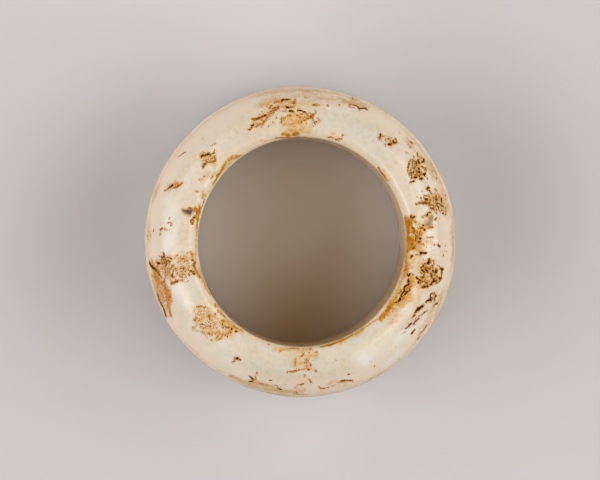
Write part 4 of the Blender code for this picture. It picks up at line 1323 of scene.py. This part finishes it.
def stone_fields(points):
    """What the stone carries at each point: each kind of mark from 0 to 1."""
    ragged = shaken(points, *RAGGED)
    uneven = shaken(points, *UNEVEN)
    loose = shaken(shaken(points, *LOOSE), *LOOSE_EDGE)
    patches = both_marks(loose, FLECKS, SIDE_FLECKS, patch_profile)
    pit_halo = both_marks(ragged, PITS, SIDE_PITS, halo_profile, PIT_DEPTH)
    rust_halo = both_marks(ragged, RUST, SIDE_RUST, halo_profile, RUST_DEPTH)
    return {
        "pits": both_marks(ragged, PITS, SIDE_PITS, line_profile, PIT_DEPTH),
        "rust": both_marks(ragged, RUST, SIDE_RUST, line_profile, RUST_DEPTH),
        "halo": np.maximum(pit_halo, RUST_HALO * rust_halo),
        # Painted highlights of the lip and scar edges
        "painted_glints": end_marks(ragged, PAINTED_GLINTS, line_profile),
        "amber": end_marks(uneven, AMBER, soft_profile),
        "smears": end_marks(loose, SMEARS, soft_profile),
        "skin": both_marks(loose, SKIN, SIDE_SKIN, patch_profile),
        "patches": patches,
        "flecks": fleck_field(points, patches),
        "ash": end_marks(ragged, ASH, soft_profile),
        "olive": end_marks(loose, OLIVE, soft_profile),
        "stains": end_marks(loose, STAINS, soft_profile),
        # Cool clouds, partly painted shade
        "clouds_and_shade": end_marks(loose, COOL_CLOUDS_AND_SHADE, soft_profile),
        # Milky clouds, partly painted highlight
        "milk_and_highlights": end_marks(loose, MILK_CLOUDS_AND_HIGHLIGHTS, soft_profile),
        # Painted glow on the shoulder
        "shoulder": painted_shoulder_glow_field(points),
        # Painted glow along the outline
        "rim": painted_outline_glow_field(points),
        # Painted glow at the bore's lip
        "lip": painted_lip_glow_field(points),
        "bore": bore_field(points),
        # Painted shade on the bore's wall
        "painted_bore_shade": painted_bore_shade_field(points),
    }


def worn_points(points, outward, fields):
    """The true turned points moved in to the worn, hollowed and pitted surface."""
    depth = hollow_depths(points)
    depth += PIT_DEPTH * fields["pits"]
    depth += RUST_DEPTH * fields["rust"]
    depth += FLECK_DEPTH * fields["flecks"]
    depth += SKIN_DEPTH * fields["skin"] * lattice_noise(points, *SKIN_NOISE)
    depth += WAVE_DEPTH * lattice_noise(points, *WAVE_NOISE)
    above_base = np.clip((points[:, 2] - BASE_EDGE_RADIUS) / WEAR_BLEND, 0, 1)
    away = points * (1, 1, 0)
    away /= np.linalg.norm(away, axis=1)[:, None]
    inward = outline_wear(points) * above_base + lip_lean(points)
    return points - away * inward[:, None] - outward * (depth * above_base)[:, None]


def make_ring():
    """The whole ring in one piece, with what the stone carries kept as attributes of its points."""
    points, outward, faces = turned_ring()
    fields = stone_fields(points)
    mesh = bpy.data.meshes.new("nephrite_ring")
    mesh.from_pydata(worn_points(points, outward, fields).tolist(), [], faces)
    for name, values in fields.items():
        mesh.attributes.new(name, "FLOAT", "POINT").data.foreach_set("value", values.astype(np.float32))
    mesh.shade_smooth()
    mesh.materials.append(nephrite())
    ring = bpy.data.objects.new("nephrite_ring", mesh)
    bpy.context.scene.collection.objects.link(ring)
    return ring


def feed(tree, socket, value):
    """Gives a socket a constant, or joins it to another node's output."""
    if isinstance(value, bpy.types.NodeSocket):
        tree.links.new(value, socket)
    else:
        socket.default_value = value


def field(tree, name):
    """What the ring's points carry under this name."""
    node = tree.nodes.new("ShaderNodeAttribute")
    node.attribute_name = name
    return node.outputs["Fac"]


def noise(tree, size, detail, grain=False):
    """Noise from 0 to 1 with lumps of about this size, drawn out along the grain if asked."""
    place = tree.nodes.new("ShaderNodeTexCoord").outputs["Object"]
    if grain:
        mapping = tree.nodes.new("ShaderNodeMapping")
        mapping.vector_type = "TEXTURE"
        mapping.inputs["Rotation"].default_value = (0, 0, math.radians(GRAIN_ANGLE))
        mapping.inputs["Scale"].default_value = (GRAIN_STRETCH, 1, 1)
        tree.links.new(place, mapping.inputs["Vector"])
        place = mapping.outputs["Vector"]
    node = tree.nodes.new("ShaderNodeTexNoise")
    node.inputs["Scale"].default_value = 1 / size
    node.inputs["Detail"].default_value = detail
    tree.links.new(place, node.inputs["Vector"])
    return node.outputs["Fac"]


def arithmetic(tree, operation, first, second):
    """A sum, product or maximum of two values."""
    node = tree.nodes.new("ShaderNodeMath")
    node.operation = operation
    feed(tree, node.inputs[0], first)
    feed(tree, node.inputs[1], second)
    return node.outputs["Value"]


def plus(tree, first, second):
    """The sum of two values."""
    return arithmetic(tree, "ADD", first, second)


def times(tree, first, second):
    """The product of two values."""
    return arithmetic(tree, "MULTIPLY", first, second)


def largest(tree, first, *others):
    """The largest of the values."""
    for other in others:
        first = arithmetic(tree, "MAXIMUM", first, other)
    return first


def ramp(tree, value, low, high, start=0.0, end=1.0):
    """From start at the low value to end at the high one, smoothly."""
    node = tree.nodes.new("ShaderNodeMapRange")
    node.interpolation_type = "SMOOTHSTEP"
    feed(tree, node.inputs["Value"], value)
    node.inputs["From Min"].default_value = low
    node.inputs["From Max"].default_value = high
    node.inputs["To Min"].default_value = start
    node.inputs["To Max"].default_value = end
    return node.outputs["Result"]


def mottled(tree, size, detail, low, high, start, end, grain=False):
    """Noise that goes from start at one of its levels to end at another."""
    return ramp(tree, noise(tree, size, detail, grain), low, high, start, end)


def laid(tree, under, over, share):
    """One colour laid over another where the share is near 1."""
    node = tree.nodes.new("ShaderNodeMix")
    node.data_type = "RGBA"
    feed(tree, node.inputs["Factor"], share)
    feed(tree, node.inputs[MIX_UNDER], under)
    feed(tree, node.inputs[MIX_OVER], over)
    return node.outputs[MIX_RESULT]


def layered(tree, colour, layers):
    """Colours laid over one another in turn, each where its share is near 1."""
    for over, share in layers:
        colour = laid(tree, colour, over, share)
    return colour


def roughened(tree, name, size, strength):
    """A kind of mark with its edges broken up by noise."""
    mark = field(tree, name)
    shift = mottled(tree, size, EDGE_DETAIL, *EDGE_STRETCH, -strength / 2, strength / 2)
    return plus(tree, mark, times(tree, shift, ramp(tree, mark, 0.0, EDGE_START)))


def stone_colour(tree):
    """The stone itself: cream, clouded in its depth, warmer in the bore and where stained, with painted
    light:
    glow on the shoulder, at the lip and along the outline, highlight in the milky clouds, and shade in the
    cool clouds and on the bore's wall.
    """
    wisps = mottled(tree, *WISPS, grain=True)
    stains = ramp(tree, roughened(tree, "stains", *STAIN_EDGE), *STAIN_LEVELS)
    layers = (
        (PALE, mottled(tree, *CLOUDING, grain=True)),
        # Cool clouds, partly painted shade
        (CLOUD_AND_SHADE_GREY, times(tree, ramp(tree, field(tree, "clouds_and_shade"), *CLOUD_AND_SHADE_LEVELS), wisps)),
        (SPECK_TAN, mottled(tree, *SPECKS)),
        # Painted glow on the shoulder
        (SHOULDER_PAINTED_GLOW, field(tree, "shoulder")),
        # Milky clouds, partly painted highlight
        (MILK_AND_HIGHLIGHT_WHITE, times(tree, ramp(tree, field(tree, "milk_and_highlights"), *MILK_AND_HIGHLIGHT_LEVELS), wisps)),
        # Painted glow along the outline, in patches
        (OUTLINE_PAINTED_GLOW, times(tree, field(tree, "rim"), mottled(tree, *RIM_PATCHES))),
        # Painted glow at the bore's lip
        (LIP_PAINTED_GLOW, field(tree, "lip")),
        (BORE_TAN, field(tree, "bore")),
        # Painted shade on the bore's wall at its right
        (BORE_PAINTED_SHADE, ramp(tree, field(tree, "painted_bore_shade"), *BORE_SHADE_LEVELS)),
        (STAIN_OCHRE, times(tree, stains, mottled(tree, *STAIN_GRAIN))),
    )
    return layered(tree, CREAM, layers)


def skin_colour(tree, colour):
    """The pebble's brown skin, its smears and grey stains over the stone's colour, and where they lie."""
    skin = ramp(tree, times(tree, field(tree, "skin"), mottled(tree, *SKIN_BREAKS)), *SKIN_LEVELS)
    smears = ramp(tree, roughened(tree, "smears", *SMEAR_EDGE), *SMEAR_LEVELS)
    ash = ramp(tree, roughened(tree, "ash", *ASH_EDGE), *ASH_LEVELS)
    olive = ramp(tree, roughened(tree, "olive", *OLIVE_EDGE), *OLIVE_LEVELS)
    layers = (
        (laid(tree, SKIN_TAN, SKIN_OCHRE, mottled(tree, *SKIN_MOTTLE, grain=True)), skin),
        (SMEAR_ORANGE, smears),
        (GREY, ash),
        (OLIVE_GREY, olive),
    )
    return layered(tree, colour, layers), largest(tree, skin, smears, ash, olive)


def amber_stain(tree):
    """The amber stain's colour, deepest in its middle, and where it lies."""
    stain = roughened(tree, "amber", *AMBER_EDGE)
    deeper = ramp(tree, stain, *AMBER_DEEPENING)
    golden = ramp(tree, plus(tree, noise(tree, *GOLD_NOISE), deeper), *GOLD_LEVELS)
    return laid(tree, AMBER_DEEP, AMBER_GOLD, golden), ramp(tree, stain, *AMBER_LEVELS)


def skin_flecks(tree):
    """The colour of the skin's small flecks, darkest in their middles, and where they lie."""
    patches = field(tree, "patches")
    grains = plus(tree, noise(tree, *GRAIN_NOISE), mottled(tree, *FLECK_GROUPS))
    grains = plus(tree, grains, ramp(tree, field(tree, "flecks"), *FLECK_LIFT))
    grains = plus(tree, grains, ramp(tree, patches, *PATCH_LIFT))
    inside = ramp(tree, patches, *PATCH_LEVELS)
    flecks = times(tree, ramp(tree, grains, *FLECK_BROWN_LEVELS), inside)
    return laid(tree, FLECK_BROWN, FLECK_DARK, ramp(tree, grains, *FLECK_DARK_LEVELS)), flecks


def mark_colour(tree, colour):
    """Amber stain, brown lines, flecks, painted glints on the lip and scar edges, and pits over the colour
    so far, and where they lie.
    """
    amber_tone, amber = amber_stain(tree)
    fleck_tone, flecks = skin_flecks(tree)
    halo = times(tree, field(tree, "halo"), mottled(tree, *HALO_BREAKS))
    rust = roughened(tree, "rust", *RUST_EDGE)
    pits = roughened(tree, "pits", *PIT_EDGE)
    fringe = ramp(tree, largest(tree, rust, pits), *FRINGE_LEVELS)
    layers = (
        (amber_tone, amber),
        (HALO_GOLD, ramp(tree, halo, *HALO_LEVELS)),
        (FRINGE_OCHRE, fringe),
        (RUST_BROWN, ramp(tree, rust, *RUST_LEVELS)),
        (fleck_tone, flecks),
        # Painted highlights: glints on the lip and on scar edges
        (PAINTED_GLINT_PALE, ramp(tree, roughened(tree, "painted_glints", *PAINTED_GLINT_EDGE), *PAINTED_GLINT_LEVELS)),
        (PIT_BROWN, ramp(tree, pits, *PIT_BROWN_LEVELS)),
        (PIT_BLACK, ramp(tree, pits, *PIT_BLACK_LEVELS)),
    )
    broken = largest(tree, fringe, flecks, ramp(tree, pits, *BROKEN_LEVELS))
    return layered(tree, colour, layers), amber, broken


def nephrite():
    """Pale polished nephrite, clouded in its depth, with stained cracks and the pebble's brown skin."""
    material = bpy.data.materials.new("nephrite")
    material.use_nodes = True
    tree = material.node_tree
    shader = tree.nodes["Principled BSDF"]
    colour, stained = skin_colour(tree, stone_colour(tree))
    colour, amber, broken = mark_colour(tree, colour)
    stained = largest(tree, stained, amber)
    rim = times(tree, field(tree, "rim"), RIM_DULLNESS)
    dull = largest(tree, times(tree, stained, STAIN_DULLNESS), broken, rim)
    roughness = plus(tree, ramp(tree, dull, *ROUGHENING), mottled(tree, *POLISH))
    glow = ramp(tree, largest(tree, stained, broken), *GLOW)
    bump = tree.nodes.new("ShaderNodeBump")
    bump.inputs["Strength"].default_value = GRIT_STRENGTH
    bump.inputs["Distance"].default_value = GRIT_DEPTH
    tree.links.new(times(tree, noise(tree, *GRIT_NOISE), dull), bump.inputs["Height"])
    tree.links.new(colour, shader.inputs["Base Color"])
    tree.links.new(roughness, shader.inputs["Roughness"])
    tree.links.new(ramp(tree, dull, *SHINE), shader.inputs["Specular IOR Level"])
    tree.links.new(glow, shader.inputs["Subsurface Weight"])
    shader.inputs["Subsurface Radius"].default_value = GLOW_COLOURS
    shader.inputs["Subsurface Scale"].default_value = GLOW_REACH
    tree.links.new(bump.outputs["Normal"], shader.inputs["Normal"])
    return material


def floor():
    """The pale ground that the ring stands on."""
    bpy.ops.mesh.primitive_plane_add(size=FLOOR_SIZE, location=(0, 0, 0))
    ground = bpy.context.object
    ground.name = "floor"
    material = bpy.data.materials.new("floor")
    material.use_nodes = True
    shader = material.node_tree.nodes["Principled BSDF"]
    shader.inputs["Base Color"].default_value = FLOOR_GREY
    shader.inputs["Roughness"].default_value = FLOOR_ROUGHNESS
    ground.data.materials.append(material)


def softbox(name, azimuth, elevation, width, height, power, colour):
    """A rectangular soft light that faces the ring."""
    data = bpy.data.lights.new(name, "AREA")
    data.shape = "RECTANGLE"
    data.size = width
    data.size_y = height
    data.energy = power
    data.color = colour
    light = bpy.data.objects.new(name, data)
    turn = math.radians(azimuth)
    rise = math.radians(elevation)
    way = Vector((math.cos(turn) * math.cos(rise), math.sin(turn) * math.cos(rise), math.sin(rise)))
    light.location = way * LIGHT_DISTANCE
    light.rotation_euler = way.to_track_quat("Z", "Y").to_euler()
    bpy.context.scene.collection.objects.link(light)


def studio():
    """A group of soft lights at each side and a weak low one behind, in a dark room."""
    for row in SOFTBOXES:
        softbox(*row)
    world = bpy.data.worlds.new("studio")
    world.use_nodes = True
    world.node_tree.nodes["Background"].inputs["Strength"].default_value = 0.0
    bpy.context.scene.world = world


def camera():
    """The photograph's view: straight down the bore, from a little to the upper left."""
    across = (PHOTO_WIDTH / 2 - AXIS_X) * PIXEL
    up = (AXIS_Y - PHOTO_HEIGHT / 2) * PIXEL
    back = (CAMERA_PLACE - Vector((across, up, SIDE_TOP))).normalized()
    right = (Vector((1, 0, 0)) - back * back.x).normalized()
    data = bpy.data.cameras.new("camera")
    data.sensor_width = SENSOR_WIDTH
    data.lens = (CAMERA_PLACE.z - SIDE_TOP) / PIXEL * SENSOR_WIDTH / PHOTO_WIDTH
    data.clip_start = NEAREST_SIGHT
    view = bpy.data.objects.new("camera", data)
    view.location = CAMERA_PLACE
    view.rotation_euler = Matrix((right, back.cross(right), back)).transposed().to_euler()
    bpy.context.scene.collection.objects.link(view)
    bpy.context.scene.camera = view


floor()
studio()
camera()
ring = make_ring()
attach(ring, "root")
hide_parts("thumb_ring")
bpy.context.scene.view_settings.view_transform = "Standard"
